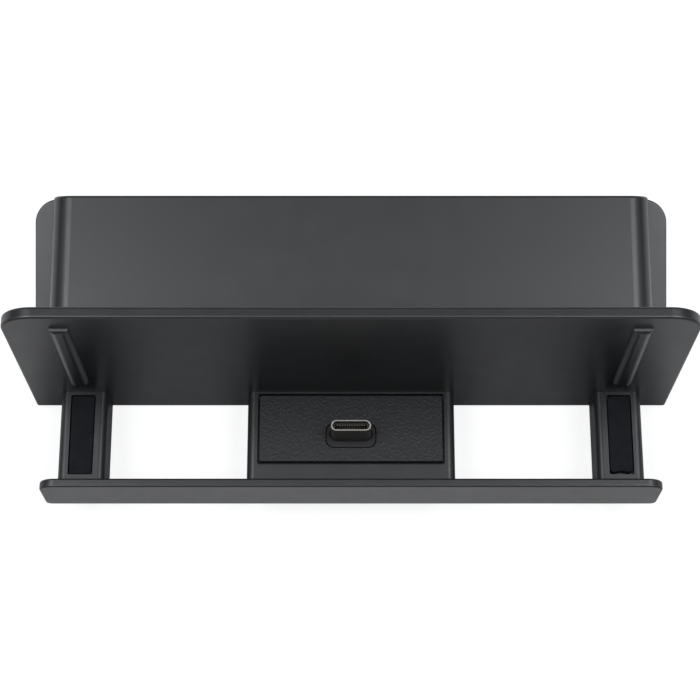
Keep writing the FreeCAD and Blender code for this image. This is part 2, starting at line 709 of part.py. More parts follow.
def ribbon_cable():
    """Flat cable: straight out of the block, an S-bend behind the wall, straight into the socket."""
    start, first, second, rise, end = ribbon_bends()
    width = about(0, RIBBON_WIDTH)
    near_end = plug_board_span()[1] - SOCKET_GRIP
    levels = about(RIBBON_LEVEL, RIBBON_THICKNESS)
    front = leaned(block(width, (near_end, WALL_THICKNESS + RIBBON_LEAD), levels))
    rear = block(
        width, (end.y, MAIN_SOCKET_FRONT + SOCKET_GRIP), about(end.z, RIBBON_THICKNESS)
    )
    half = RIBBON_THICKNESS / 2
    low_left = vec(width[0], WALL_THICKNESS + RIBBON_LEAD, RIBBON_LEVEL - half)
    section = Part.Face(
        Part.makePolygon(
            [
                low_left,
                low_left + RIGHT * RIBBON_WIDTH,
                low_left + RIGHT * RIBBON_WIDTH + UP * RIBBON_THICKNESS,
                low_left + UP * RIBBON_THICKNESS,
                low_left,
            ]
        )
    )
    section = leaned(section)
    up_bend = section.revolve(first, RIGHT, LEAN_DEG + rise)
    section.rotate(first, RIGHT, LEAN_DEG + rise)
    level_bend = section.revolve(second, RIGHT, -rise)
    return front.fuse([up_bend, level_bend, rear]).removeSplitter()


def block_cover():
    """Plate that closes the block from below, with two screw holes."""
    width = BLOCK_WIDTH - 2 * (CRADLE_SKIN + COVER_GAP)
    plate = block(about(0, width), (COVER_GAP - CRADLE_DEPTH, -COVER_GAP), (-CRADLE_DROP, COVER_TOP))
    holes = [clearance_hole(x, y, -CRADLE_DROP, BLOCK_SEAT, COVER_TOP) for x, y in POSTS]
    return leaned(plate.cut(holes))


def block_screws():
    """Screws that draw the cover and the panel together."""
    bite = COVER_TOP - BLOCK_SEAT + BLOCK_SCREW_BITE
    return leaned(Part.makeCompound([set_at(screw(bite), vec(x, y, BLOCK_SEAT)) for x, y in POSTS]))


def base_plate():
    """Flat plate from the wall's rear face, with screw holes, foot recesses and standoffs."""
    front = wall_rear_y(FOOT_PROUD) - WALL_THICKNESS
    half = DOCK_WIDTH / 2
    corners = [
        (vec(-half, front, FOOT_PROUD), 0),
        (vec(half, front, FOOT_PROUD), 0),
        (vec(half, REAR_Y, FOOT_PROUD), BASE_CORNER_R),
        (vec(-half, REAR_Y, FOOT_PROUD), BASE_CORNER_R),
    ]
    plate = rounded_face(corners).extrude(UP * BASE_THICKNESS)
    rim = without(rim_edges(plate, 2, BASE_TOP), rim_edges(plate, 1, front))
    plate = plate.makeFillet(BASE_EDGE_R, rim)
    posts = [rod(x, y, BASE_TOP, BOARD_BOTTOM, STANDOFF_R) for x, y in STANDOFFS]
    holes = [clearance_hole(x, y, FOOT_PROUD, BASE_SEAT, BASE_TOP) for x, y in LUG_SPOTS + BOSS_SPOTS]
    pilot_low = BOARD_BOTTOM - BOARD_SCREW_BITE - THREAD_CLEARANCE
    pilot_r = SCREW_SHANK_R + THREAD_CLEARANCE
    pilots = [rod(x, y, pilot_low, BOARD_BOTTOM + OVERCUT, pilot_r) for x, y in STANDOFFS]
    recess_r = FOOT_R + FOOT_GAP
    recesses = [
        rod(x, y, FOOT_PROUD - OVERCUT, FOOT_PROUD + FOOT_SEAT, recess_r)
        for x in FOOT_XS.values()
        for y in FOOT_YS.values()
    ]
    return plate.fuse(posts).cut([before_plane(WALL_THICKNESS), *holes, *pilots, *recesses]).removeSplitter()


def housing_blank(width, rear_y, drop, foot, shoulder_r):
    """Wedge under the sloped roof, lowered by a drop, with round shoulders along the slope."""
    front = LUG_FRONT - DOCK_WIDTH / 4
    rear_top = HOUSING_REAR_TOP - drop + HOUSING_SLOPE * (REAR_Y - rear_y)
    front_top = rear_top + HOUSING_SLOPE * (rear_y - front)
    left = -width / 2
    side = Part.makePolygon(
        [
            vec(left, front, foot),
            vec(left, rear_y, foot),
            vec(left, rear_y, rear_top),
            vec(left, front, front_top),
            vec(left, front, foot),
        ]
    )
    wedge = Part.Face(side).extrude(RIGHT * width)
    slope_run = math.cos(math.radians(HOUSING_SLOPE_DEG))
    shoulders = [
        edge
        for edge in wedge.Edges
        if abs(abs(edge.tangentAt(edge.FirstParameter).y) - slope_run) < NEAR
    ]
    return wedge.makeFillet(shoulder_r, shoulders)


def rear_housing():
    """Moulded shell behind the wall, open below and towards the wall, with four screw bosses."""
    outer = housing_blank(HOUSING_WIDTH, REAR_Y, 0, BASE_TOP, HOUSING_SHOULDER_R)
    rim = without(rim_edges(outer, 1, REAR_Y), rim_edges(outer, 2, BASE_TOP))
    outer = outer.makeFillet(HOUSING_REAR_R, rim)
    inner = housing_blank(
        HOUSING_WIDTH - 2 * HOUSING_SKIN,
        REAR_Y - HOUSING_SKIN,
        HOUSING_SKIN / math.cos(math.radians(HOUSING_SLOPE_DEG)),
        BASE_TOP - OVERCUT,
        HOUSING_SHOULDER_R - HOUSING_SKIN,
    )
    tall = HOUSING_REAR_TOP + HOUSING_SLOPE * BASE_DEPTH
    bosses = [rod(x, y, BASE_TOP, tall, BOSS_R).common(outer) for x, y in BOSS_SPOTS]
    shell = outer.cut(inner).fuse(bosses)
    pilots = [pilot(x, y, BASE_TOP, BASE_SCREW_BITE) for x, y in BOSS_SPOTS]
    mouth_span = (REAR_Y - HOUSING_SKIN - OVERCUT, REAR_Y + OVERCUT)
    mouth_size = (INLET_WIDTH + 2 * INLET_GAP, INLET_HEIGHT + 2 * INLET_GAP)
    mouth = stadium_tunnel(INLET_Z, mouth_span, *mouth_size)
    recess_span = (REAR_Y - INLET_RECESS_DEPTH, REAR_Y + OVERCUT)
    recess_size = [size + 2 * INLET_RECESS_MARGIN for size in mouth_size]
    recess = stadium_tunnel(INLET_Z, recess_span, *recess_size)
    return shell.cut([before_plane(WALL_THICKNESS), *pilots, mouth, recess]).removeSplitter()


def main_board():
    """Board on the base plate's standoffs."""
    width = about(0, BOARD_WIDTH)
    board = rounded_slab(width, (BOARD_FRONT, BOARD_REAR), (BOARD_BOTTOM, BOARD_TOP), BOARD_CORNER_R)
    hole_r = SCREW_SHANK_R + SCREW_GAP
    holes = [rod(x, y, BOARD_BOTTOM - OVERCUT, BOARD_TOP + OVERCUT, hole_r) for x, y in STANDOFFS]
    return board.cut(holes)


def board_screws():
    """Screws from above through the board into the standoffs."""
    turned = screw(BOARD_THICKNESS + BOARD_SCREW_BITE)
    turned.rotate(vec(0, 0, 0), RIGHT, 180)
    return Part.makeCompound([set_at(turned, vec(x, y, BOARD_TOP)) for x, y in STANDOFFS])


def base_screws():
    """Screws from below through the base plate into the lugs and the housing's bosses."""
    through = BASE_TOP - BASE_SEAT
    screws = [set_at(screw(through + LUG_SCREW_BITE), vec(x, y, BASE_SEAT)) for x, y in LUG_SPOTS]
    screws += [set_at(screw(through + BASE_SCREW_BITE), vec(x, y, BASE_SEAT)) for x, y in BOSS_SPOTS]
    return Part.makeCompound(screws)


def inlet_core_size():
    return (INLET_WIDTH - 2 * INLET_WALL, INLET_HEIGHT - 2 * INLET_WALL)


def inlet_shell():
    """Metal shell of the power inlet, open to the rear."""
    span = (INLET_MOUTH - INLET_LENGTH, INLET_MOUTH)
    outer = stadium_tunnel(INLET_Z, span, INLET_WIDTH, INLET_HEIGHT)
    bore = stadium_tunnel(INLET_Z, (span[0] - OVERCUT, span[1] + OVERCUT), *inlet_core_size())
    return outer.cut(bore)


def inlet_tongue():
    """Plastic back of the inlet with the flat tongue that carries its contacts."""
    rear = INLET_MOUTH - INLET_LENGTH
    back = stadium_tunnel(INLET_Z, (rear, rear + INLET_BACK), *inlet_core_size())
    tongue_span = (rear, INLET_MOUTH - TONGUE_SINK)
    tongue = block(about(0, TONGUE_WIDTH), tongue_span, about(INLET_Z, TONGUE_HEIGHT))
    return back.fuse(tongue).removeSplitter()


def controller_chip():
    return block(
        about(CHIP_OFFSET, CHIP_SIDE), about(BOARD_MIDDLE, CHIP_SIDE), (BOARD_TOP, BOARD_TOP + CHIP_HEIGHT)
    )


def inductor():
    """Moulded power coil."""
    levels = (BOARD_TOP, BOARD_TOP + COIL_HEIGHT)
    return rounded_slab(
        about(COIL_OFFSET, COIL_SIDE), about(BOARD_MIDDLE, COIL_SIDE), levels, COIL_CORNER_R
    )


def capacitors():
    """Row of chip capacitors between the controller and the coil."""
    row = []
    for i in range(CAP_COUNT):
        y = BOARD_MIDDLE + (i - (CAP_COUNT - 1) / 2) * CAP_PITCH
        row.append(block(about(0, CAP_LENGTH), about(y, CAP_WIDTH), (BOARD_TOP, BOARD_TOP + CAP_HEIGHT)))
    return Part.makeCompound(row)


def foot(x, y):
    """Round rubber foot in its recess."""
    disc = rod(x, y, 0, FOOT_PROUD + FOOT_SEAT, FOOT_R)
    return disc.makeChamfer(FOOT_BEVEL, rim_edges(disc, 2, 0))


def pieces():
    """Every piece of the dock by its name."""
    left, right = both_sides(PAD_SPACING)
    made = {
        "backrest_cradle": backrest_cradle(),
        "base_plate": base_plate(),
        "rear_housing": rear_housing(),
        "connector_panel": connector_panel(),
        "plug_overmould": plug_overmould(),
        "plug_shell": plug_shell(),
        "plug_insulator": plug_insulator(),
        "plug_contacts": plug_contacts(),
        "plug_board": plug_board(),
        "cable_socket_plug": cable_socket_plug(),
        "ribbon_cable": ribbon_cable(),
        "cable_socket_main": cable_socket_main(),
        "block_cover": block_cover(),
        "block_screws": block_screws(),
        "grip_pad_left": grip_pad(left, PAD_CORNER_R, 0),
        "grip_pad_right": grip_pad(right, WORN_PAD_CORNER_R, WORN_PAD_BOW),
        "main_board": main_board(),
        "board_screws": board_screws(),
        "inlet_shell": inlet_shell(),
        "inlet_tongue": inlet_tongue(),
        "controller_chip": controller_chip(),
        "inductor": inductor(),
        "capacitors": capacitors(),
        "base_screws": base_screws(),
    }
    for end, y in FOOT_YS.items():
        for side, x in FOOT_XS.items():
            made[f"foot_{end}_{side}"] = foot(x, y)
    return made


os.makedirs("parts", exist_ok=True)
for name, shape in pieces().items():
    shape.exportStep(f"parts/{name}.step")
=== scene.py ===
import math

import bmesh
import bpy
from mathutils import Matrix, Vector, noise


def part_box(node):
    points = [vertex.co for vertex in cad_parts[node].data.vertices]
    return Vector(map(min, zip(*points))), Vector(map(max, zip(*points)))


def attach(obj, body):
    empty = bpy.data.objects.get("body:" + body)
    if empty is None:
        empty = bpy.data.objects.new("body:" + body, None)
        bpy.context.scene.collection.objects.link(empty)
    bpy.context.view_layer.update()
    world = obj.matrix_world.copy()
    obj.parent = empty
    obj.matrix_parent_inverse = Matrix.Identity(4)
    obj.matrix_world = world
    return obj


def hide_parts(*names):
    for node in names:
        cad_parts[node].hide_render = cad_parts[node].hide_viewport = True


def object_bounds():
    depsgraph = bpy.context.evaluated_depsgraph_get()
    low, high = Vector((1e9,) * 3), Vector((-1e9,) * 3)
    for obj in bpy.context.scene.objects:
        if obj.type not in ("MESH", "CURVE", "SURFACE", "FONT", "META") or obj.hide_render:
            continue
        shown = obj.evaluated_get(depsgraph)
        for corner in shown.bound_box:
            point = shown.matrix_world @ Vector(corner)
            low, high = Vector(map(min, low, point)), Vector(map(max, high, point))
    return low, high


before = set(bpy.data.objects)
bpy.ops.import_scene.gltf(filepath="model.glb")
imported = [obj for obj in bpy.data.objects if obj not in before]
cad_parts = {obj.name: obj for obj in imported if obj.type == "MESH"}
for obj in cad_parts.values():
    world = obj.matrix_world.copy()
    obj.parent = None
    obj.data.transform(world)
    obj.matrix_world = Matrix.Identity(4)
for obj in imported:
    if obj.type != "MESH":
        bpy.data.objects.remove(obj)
CAD_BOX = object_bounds()

bl_info = {
    "name": "Charging dock finishes",
    "version": (1, 0, 0),
    "blender": (4, 5, 0),
    "location": "View3D > Sidebar > Dock",
    "description": "Dresses the charging dock with its plastics, rubber, plug and studio",
    "category": "Object",
}

MM = 0.001
BODY = "root"
WHITE = (1.0, 1.0, 1.0, 1.0)

# The cradle's own axes: the corner of wall and cradle floor, and the lean of the wall
LEVEL = Matrix.Scale(MM, 4)
LEAN_ANGLE = math.radians(20.0)
CRADLE_CORNER = Vector((0.0, -8.6446, 9.0693)) * MM
LEANED = Matrix.Translation(CRADLE_CORNER) @ Matrix.Rotation(-LEAN_ANGLE, 4, "X") @ LEVEL

# Photo's frame: side in pixels, focal length and the optical axis, right of the middle
FRAME_PIXELS = 700.0
FOCAL_PIXELS = 1933.0
AXIS_SHIFT_PIXELS = 1.0
SENSOR_WIDTH = 36.0


def length(name, about, millimetres):
    """A size in the sidebar, kept in metres."""
    return bpy.props.FloatProperty(
        name=name, description=about, default=millimetres * MM, min=0.0, precision=5, unit="LENGTH"
    )


def share(name, about, value):
    """A number from 0 to 1 in the sidebar."""
    return bpy.props.FloatProperty(
        name=name, description=about, default=value, min=0.0, max=1.0, subtype="FACTOR"
    )


def amount(name, about, value):
    """A plain number in the sidebar."""
    return bpy.props.FloatProperty(name=name, description=about, default=value, min=0.0)


def tint(name, about, value):
    """A colour in the sidebar."""
    return bpy.props.FloatVectorProperty(
        name=name, description=about, default=value, size=3, min=0.0, max=1.0, subtype="COLOR"
    )


class ShellLook(bpy.types.PropertyGroup):
    """Satin plastic of the wall, cradle, housing and base."""

    colour: tint("Colour", "Colour of the plastic", (0.0116, 0.0125, 0.0133))
    worn_colour: tint("Worn edge", "Colour of the rubbed edges", (0.021, 0.0213, 0.0218))
    roughness: share("Roughness", "Blur of the reflections", 0.32)
    grain: length("Grain", "Size of the mould's fine texture", 0.16)
    grain_depth: length("Grain depth", "Depth of the mould's fine texture", 0.006)
    edge: length("Edge", "Width of the rubbed edges", 0.25)


class PanelLook(bpy.types.PropertyGroup):
    """Leather-grained plastic of the inset panel and the smoother collar round the plug."""

    colour: tint("Colour", "Colour of the panel", (0.0100, 0.0102, 0.0109))
    collar_colour: tint("Collar", "Colour of the collar", (0.0102, 0.0103, 0.0108))
    roughness: share("Roughness", "Blur of the reflections", 0.50)
    grain: length("Grain", "Size of a leather cell", 0.6)
    grain_depth: length("Grain depth", "Depth of the leather grain", 0.035)
    collar_setback: length("Collar setback", "From the wall's face to the collar's middle", 9.4)
    collar_width: length("Collar width", "Width of the collar", 10.15)
    collar_depth: length("Collar depth", "Depth of the collar from front to rear", 5.1)
    collar_corner: length("Collar corner", "Radius of the collar's corners", 1.6)
    collar_sink: length("Collar sink", "Depth of the collar's top below the cradle floor", 0.15)
    flange_margin: length("Flange margin", "How far the collar's flange reaches under the panel", 1.3)
    flange_thickness: length("Flange thickness", "Thickness of the collar's flange", 1.0)
    moat_width: length("Moat width", "Width of the thin gap between collar and plug", 0.3)
    moat_depth: length("Moat depth", "Depth of the thin gap between collar and plug", 0.7)


class PlugLook(bpy.types.PropertyGroup):
    """Upright plug: drawn shell, core and contact springs."""

    metal: tint("Shell", "Colour of the plated shell", (0.236, 0.226, 0.213))
    gold: tint("Contacts", "Colour of the gilt contacts", (0.66, 0.57, 0.44))
    core: tint("Core", "Colour of the moulded core", (0.070, 0.070, 0.071))
    setback: length("Setback", "From the wall's face to the plug's middle", 9.2)
    width: length("Width", "Width of the shell", 8.25)
    thickness: length("Thickness", "Thickness of the shell", 2.4)
    wall: length("Wall", "Sheet thickness of the shell", 0.38)
    reach: length("Reach", "Height of the tip above the cradle floor", 6.15)
    root: length("Root", "Depth of the shell's root below the cradle floor", 2.75)
    recess: length("Recess", "Depth of the core's face below the tip", 1.25)
    mouth_width: length("Mouth width", "Width of the mouth", 6.8)
    mouth_height: length("Mouth height", "Height of the mouth", 1.22)
    mouth_depth: length("Mouth depth", "Depth of the mouth", 4.5)
    pitch: length("Pitch", "Spacing of the contacts", 0.5)
    contact_width: length("Contact width", "Width of a contact spring", 0.24)
    contact_length: length("Contact length", "Length of a contact spring", 3.9)
    per_row: bpy.props.IntProperty(name="Contacts", description="Contacts in a row", default=12, min=1)


class RubberLook(bpy.types.PropertyGroup):
    """Grip pads in the arms and feet under the base."""

    colour: tint("Pads", "Colour of the grip pads", (0.0052, 0.0055, 0.0072))
    foot_colour: tint("Feet", "Colour of the feet", (0.012, 0.012, 0.012))
    pad_width: length("Pad width", "Width of a grip pad", 4.7)
    pad_length: length("Pad length", "Length of a grip pad", 16.8)
    pad_thickness: length("Pad thickness", "Thickness of a grip pad", 1.5)
    pad_setback: length("Pad setback", "From the wall's face to a pad's rear end", 0.85)
    pad_sink: length("Pad sink", "Depth of a pad's top below the arm's top", 0.1)
    pad_offset: length("Pad offset", "From the dock's middle to a pad's middle", 55.65)
    pad_edge: length("Pad edge", "Radius of a pad's top edge", 0.18)
    foot_radius: length("Foot radius", "Radius of a foot", 4.0)
    foot_height: length("Foot height", "Height of a foot with the part in its recess", 1.2)


class FastenerLook(bpy.types.PropertyGroup):
    """Screws under the base and the centre block."""

    colour: tint("Steel", "Colour of the plated steel", (0.33, 0.33, 0.34))
    head_radius: length("Head radius", "Radius of a screw's head", 2.2)
    head_height: length("Head height", "Height of a screw's head", 1.0)
    shank_radius: length("Shank radius", "Radius of a screw's shank", 1.1)


class ElectronicsLook(bpy.types.PropertyGroup):
    """Boards, sockets, ribbon and components inside the dock."""

    lacquer: tint("Boards", "Colour of the boards' lacquer", (0.012, 0.07, 0.035))
    socket: tint("Sockets", "Colour of the cable sockets", (0.72, 0.69, 0.61))
    film: tint("Ribbon", "Colour of the ribbon's film", (0.76, 0.76, 0.74))
    wire_pitch: length("Wire pitch", "Spacing of the ribbon's wires", 0.5)
    package: tint("Chip and coil", "Colour of the chip and the coil", (0.02, 0.02, 0.021))
    ceramic: tint("Capacitors", "Colour of the capacitors", (0.40, 0.27, 0.16))


class StudioSettings(bpy.types.PropertyGroup):
    """Floor, lamps and camera."""

    distance: length("Camera height", "Height of the camera above the floor", 411.7)
    aim: length("Camera aim", "How far behind the dock's middle the camera hangs", 0.1)
    lamp_level: amount("Lamp level", "Brightness of a lamp's face", 5.9)
    fill_level: amount("Fill level", "Brightness of the room for matt surfaces", 0.12)
    lamp_width: length("Lamp width", "Width of each lamp's face", 460.0)
    lamp_depth: length("Lamp depth", "Depth of each lamp's face", 690.0)
    lamp_height: length("Lamp height", "Height of the lamps above the floor", 850.0)
    lamp_spread: length("Lamp spread", "From the middle to each lamp", 430.0)
    lamp_back: length("Lamp setback", "How far behind the dock the lamps hang", 250.0)
    flag_radius: length("Flag radius", "Radius of the dark ring of flags", 750.0)
    flag_low: length("Flag foot", "Height of the lower edge of the flags at the sides and behind", 30.0)
    flag_gap: length("Front gap", "Height of the open band below the front flags", 260.0)
    flag_side: length("Side flags", "Height of the flags at the sides", 120.0)
    flag_rear: length("Rear flags", "Height of the flags behind the dock", 960.0)
    flag_front: length("Front flags", "Height of the flags before the dock", 1100.0)
    room_level: share("Room level", "Share of the white room in reflections", 0.8)
    floor_shade: share("Floor shade", "Grey of the floor under the dock in reflections", 0.30)
    floor_level: share("Floor level", "Share of the white floor before the dock in reflections", 0.4)
    floor_rear_level: share(
        "Rear floor level", "Share of the white floor beside the housing in reflections", 0.8
    )
    floor_side: length("Floor side", "Side of the square floor", 6000.0)


class Nodes:
    """A node tree, with nodes added by kind and sockets given by name or number."""

    def __init__(self, tree):
        self.tree = tree

    def fill(self, node, sockets):
        """Links or sets a node's sockets."""
        for key, value in sockets.items():
            if isinstance(value, bpy.types.NodeSocket):
                self.tree.links.new(value, node.inputs[key])
            else:
                node.inputs[key].default_value = value
        return node

    def add(self, kind, sockets=None, **settings):
        """A new node with its settings and sockets."""
        node = self.tree.nodes.new("ShaderNode" + kind)
        for key, value in settings.items():
            setattr(node, key, value)
        return self.fill(node, sockets or {})

    def maths(self, operation, first, second=0.0):
        """One step of arithmetic."""
        return self.add("Math", {0: first, 1: second}, operation=operation).outputs[0]

    def ranged(self, value, span, to):
        """A value carried from one span to another and held at its ends."""
        names = ("Value", "From Min", "From Max", "To Min", "To Max")
        return self.add("MapRange", dict(zip(names, (value, *span, *to)))).outputs["Result"]

    def ray_share(self, mirrored):
        """1 for camera rays, a share for mirrored and refracted rays, 0 for the light that is given off."""
        path = self.add("LightPath").outputs
        either = self.maths("MAXIMUM", path["Is Glossy Ray"], path["Is Transmission Ray"])
        sockets = {0: either, 1: mirrored, 2: path["Is Camera Ray"]}
        return self.add("Math", sockets, operation="MULTIPLY_ADD", use_clamp=True).outputs[0]


class Recipe(Nodes):
    """A new material: the nodes of its pattern and its surface."""

    def __init__(self, name):
        self.material = bpy.data.materials.new(name)
        self.material.use_nodes = True
        super().__init__(self.material.node_tree)
        self.surface = self.tree.nodes["Principled BSDF"]

    def place(self):
        """Where a spot lies on the object."""
        return self.add("TexCoord").outputs["Object"]

    def stretched(self, scale):
        """The place with its axes scaled, for patterns that are drawn out."""
        return self.add("Mapping", {"Vector": self.place(), "Scale": scale}).outputs["Vector"]

    def noise(self, vector, size, detail=2.0, roughness=0.5):
        """Noise with lumps of about a size."""
        sockets = {"Vector": vector, "Scale": 1.0 / size, "Detail": detail, "Roughness": roughness}
        return self.add("TexNoise", sockets).outputs["Fac"]

    def cells(self, vector, size, smoothness=0.0):
        """Distance to the nearest cell's middle, with soft creases where a smoothness is given."""
        sockets = {"Vector": vector, "Scale": 1.0 / size}
        if not smoothness:
            return self.add("TexVoronoi", sockets).outputs["Distance"]
        node = self.add("TexVoronoi", sockets, feature="SMOOTH_F1")
        return self.fill(node, {"Smoothness": smoothness}).outputs["Distance"]

    def blend(self, factor, first, second):
        """From the first colour to the second by a factor."""
        node = self.add("Mix", {0: factor}, data_type="RGBA")
        inputs = [socket for socket in node.inputs if socket.type == "RGBA"]
        for socket, value in zip(inputs, (first, second)):
            if isinstance(value, bpy.types.NodeSocket):
                self.tree.links.new(value, socket)
            else:
                socket.default_value = (*value, 1.0)
        return [socket for socket in node.outputs if socket.type == "RGBA"][0]

    def mottled(self, factor, colour, darkest, lightest):
        """A colour that goes from darker to lighter by a factor."""
        return self.blend(factor, varied(colour, darkest), varied(colour, lightest))

    def worn_edges(self, width):
        """1 on a convex or hollow edge, 0 on a flat face."""
        soft = self.add("Bevel", {"Radius": width}, samples=6).outputs["Normal"]
        true = self.add("NewGeometry").outputs["True Normal"]
        along = self.add("VectorMath", {0: soft, 1: true}, operation="DOT_PRODUCT").outputs["Value"]
        return self.ranged(along, (0.985, 0.86), (0.0, 1.0))

    def relief(self, height, depth, under=None):
        """Normal of a fine relief, on top of another one where that is given."""
        sockets = {"Height": height, "Distance": depth, "Strength": 1.0}
        if under is not None:
            sockets["Normal"] = under
        return self.add("Bump", sockets).outputs["Normal"]

    def finish(self, **sockets):
        """The material with its surface's sockets, which are given as keywords."""
        named = {}
        for key, value in sockets.items():
            named[key.replace("_", " ").title().replace("Ior", "IOR")] = value
        colour = named["Base Color"]
        if isinstance(colour, tuple):
            named["Base Color"] = (*colour, 1.0)
        self.fill(self.surface, named)
        return self.material


def varied(colour, factor):
    """A colour made lighter or darker by a factor."""
    return tuple(min(1.0, channel * factor) for channel in colour)


def warmed(colour, green, blue):
    """A colour with its green and its blue cut down."""
    return (colour[0], colour[1] * green, colour[2] * blue)


def grey(level):
    """A grey for a colour socket."""
    return (level, level, level, 1.0)


def satin_plastic(name, colour, worn, roughness, grain, depth, edge, specular=0.5):
    """Moulded plastic with a fine spark texture, faint mottling and rubbed edges."""
    r = Recipe(name)
    where = r.place()
    base = r.mottled(r.noise(where, size=14 * MM, detail=3.0), colour, 0.94, 1.06)
    rubbed = r.worn_edges(edge)
    scuff = r.noise(where, size=2.2 * MM, detail=4.0, roughness=0.65)
    worn_share = r.maths("MULTIPLY", rubbed, r.ranged(scuff, (0.42, 0.62), (0.25, 0.9)))
    base = r.blend(worn_share, base, worn)
    smear = r.noise(where, size=5 * MM, detail=3.0)
    gloss = r.ranged(smear, (0.3, 0.7), (roughness - 0.02, roughness + 0.02))
    gloss = r.maths("SUBTRACT", gloss, r.maths("MULTIPLY", rubbed, 0.06))
    spark = r.noise(where, size=grain, detail=3.0, roughness=0.6)
    ripple = r.relief(r.noise(where, size=16 * MM, detail=1.0), depth=0.012 * MM)
    normal = r.relief(spark, depth, under=ripple)
    return r.finish(base_color=base, roughness=gloss, normal=normal, specular_ior_level=specular)


def leather_plastic(name, look):
    """Moulded plastic with a leather grain of uneven cells and fine pores, with painted shade in the
    creases between cells and a painted highlight on their tops.
    """
    r = Recipe(name)
    where = r.place()
    drift = r.add("TexNoise", {"Vector": where, "Scale": 700.0, "Detail": 2.0}).outputs["Color"]
    bent = r.add("MixRGB", {0: 0.0004, 1: where, 2: drift}).outputs[0]
    cell = r.cells(bent, look.grain, smoothness=0.35)
    cell_rise_and_painted_shade = r.ranged(cell, (0.15, 0.62), (1.0, 0.0))
    pores = r.noise(where, size=look.grain * 0.28, detail=3.0, roughness=0.6)
    height = r.maths("ADD", cell_rise_and_painted_shade, r.maths("MULTIPLY", pores, 0.55))
    normal = r.relief(height, look.grain_depth)
    # Painted shade and highlight: the colour is darker in the creases between cells and lighter on the
    # cells' tops, as the grain's relief would be lit.
    base = r.mottled(cell_rise_and_painted_shade, tuple(look.colour), 0.72, 1.18)
    gloss = r.ranged(pores, (0.3, 0.7), (look.roughness - 0.05, look.roughness + 0.08))
    return r.finish(base_color=base, roughness=gloss, normal=normal, specular_ior_level=0.3)


def plated_metal(name, colour, roughness, lines):
    """Drawn and plated sheet with fine draw lines along one axis and faint tarnish."""
    r = Recipe(name)
    streak = r.noise(r.stretched(lines), size=0.05 * MM, detail=2.0)
    cloud = r.noise(r.place(), size=1.4 * MM, detail=4.0, roughness=0.6)
    tarnish = r.ranged(cloud, (0.45, 0.75), (0.0, 0.4))
    base = r.blend(tarnish, colour, varied(warmed(colour, 0.93, 0.84), 0.86))
    gloss = r.ranged(streak, (0.25, 0.75), (roughness - 0.07, roughness + 0.07))
    normal = r.relief(streak, depth=0.0008 * MM)
    return r.finish(base_color=base, roughness=gloss, normal=normal, metallic=1.0)


def matt_rubber(name, colour, grain, depth):
    """Dull rubber with a fine skin and a little dust."""
    dust_colour = (0.12, 0.12, 0.12)
    r = Recipe(name)
    where = r.place()
    surface = r.noise(where, size=grain, detail=3.0, roughness=0.6)
    cloud = r.noise(where, size=3 * MM, detail=2.0)
    base = r.mottled(cloud, colour, 0.92, 1.1)
    dust = r.ranged(r.cells(where, 0.9 * MM), (0.05, 0.11), (1.0, 0.0))
    base = r.blend(r.maths("MULTIPLY", dust, 0.12), base, dust_colour)
    gloss = r.ranged(cloud, (0.3, 0.7), (0.72, 0.86))
    normal = r.relief(surface, depth)
    return r.finish(base_color=base, roughness=gloss, normal=normal, specular_ior_level=0.14)


def plain_moulding(name, colour, roughness):
    """Small hidden moulding with a light grain."""
    r = Recipe(name)
    where = r.place()
    cloud = r.noise(where, size=1.5 * MM, detail=3.0)
    base = r.mottled(cloud, colour, 0.85, 1.12)
    gloss = r.ranged(cloud, (0.3, 0.7), (roughness - 0.06, roughness + 0.06))
    normal = r.relief(r.noise(where, size=0.08 * MM, detail=2.0), depth=0.004 * MM)
    return r.finish(base_color=base, roughness=gloss, normal=normal)


def striped_film(name, colour, pitch):
    """Film with flat wires that show through as stripes."""
    r = Recipe(name)
    where = r.place()
    across = r.add("SeparateXYZ", {0: where}).outputs["X"]
    wave = r.maths("SINE", r.maths("MULTIPLY", across, math.tau / pitch))
    wires = r.ranged(wave, (-0.2, 0.2), (0.0, 1.0))
    base = r.blend(wires, colour, varied(warmed(colour, 0.97, 0.92), 0.62))
    normal = r.relief(wires, depth=0.02 * MM)
    gloss = r.ranged(r.noise(where, size=2 * MM, detail=2.0), (0.3, 0.7), (0.28, 0.42))
    return r.finish(base_color=base, roughness=gloss, normal=normal)


def solder_mask(name, colour):
    """Board lacquer over tracks and glass weave."""
    r = Recipe(name)
    where = r.place()
    tracks = r.add("TexBrick", {"Vector": where, "Scale": 260.0, "Mortar Size": 0.09}).outputs["Fac"]
    weave = r.noise(where, size=0.4 * MM, detail=1.0)
    base = r.mottled(tracks, colour, 1.0, 1.7)
    height = r.maths("ADD", tracks, r.maths("MULTIPLY", weave, 0.2))
    normal = r.relief(height, depth=0.03 * MM)
    gloss = r.ranged(weave, (0.3, 0.7), (0.3, 0.42))
    return r.finish(base_color=base, roughness=gloss, normal=normal)


def loop(width, depth, radius, corner_steps=10, side_steps=1):
    """Outline of a rounded rectangle about the origin. The count of points is the same for any size."""
    half_x = width / 2 - radius
    half_y = depth / 2 - radius
    arcs = []
    for quarter, (side_x, side_y) in enumerate(((1, 1), (-1, 1), (-1, -1), (1, -1))):
        turns = [math.pi / 2 * (quarter + i / corner_steps) for i in range(corner_steps + 1)]
        middle = Vector((side_x * half_x, side_y * half_y))
        arcs.append([middle + radius * Vector((math.cos(t), math.sin(t))) for t in turns])
    points = []
    for arc, following in zip(arcs, arcs[1:] + arcs[:1]):
        points += arc
        points += [arc[-1].lerp(following[0], i / side_steps) for i in range(1, side_steps)]
    return points


def stadium(width, thickness, inset, corner_steps=10, side_steps=1):
    """Round-ended outline of the plug, drawn in by an inset. Its ends stay just short of round."""
    shy = 0.001
    radius = thickness / 2 - inset - shy
    return loop(width - 2 * inset, thickness - 2 * inset, radius, corner_steps, side_steps)


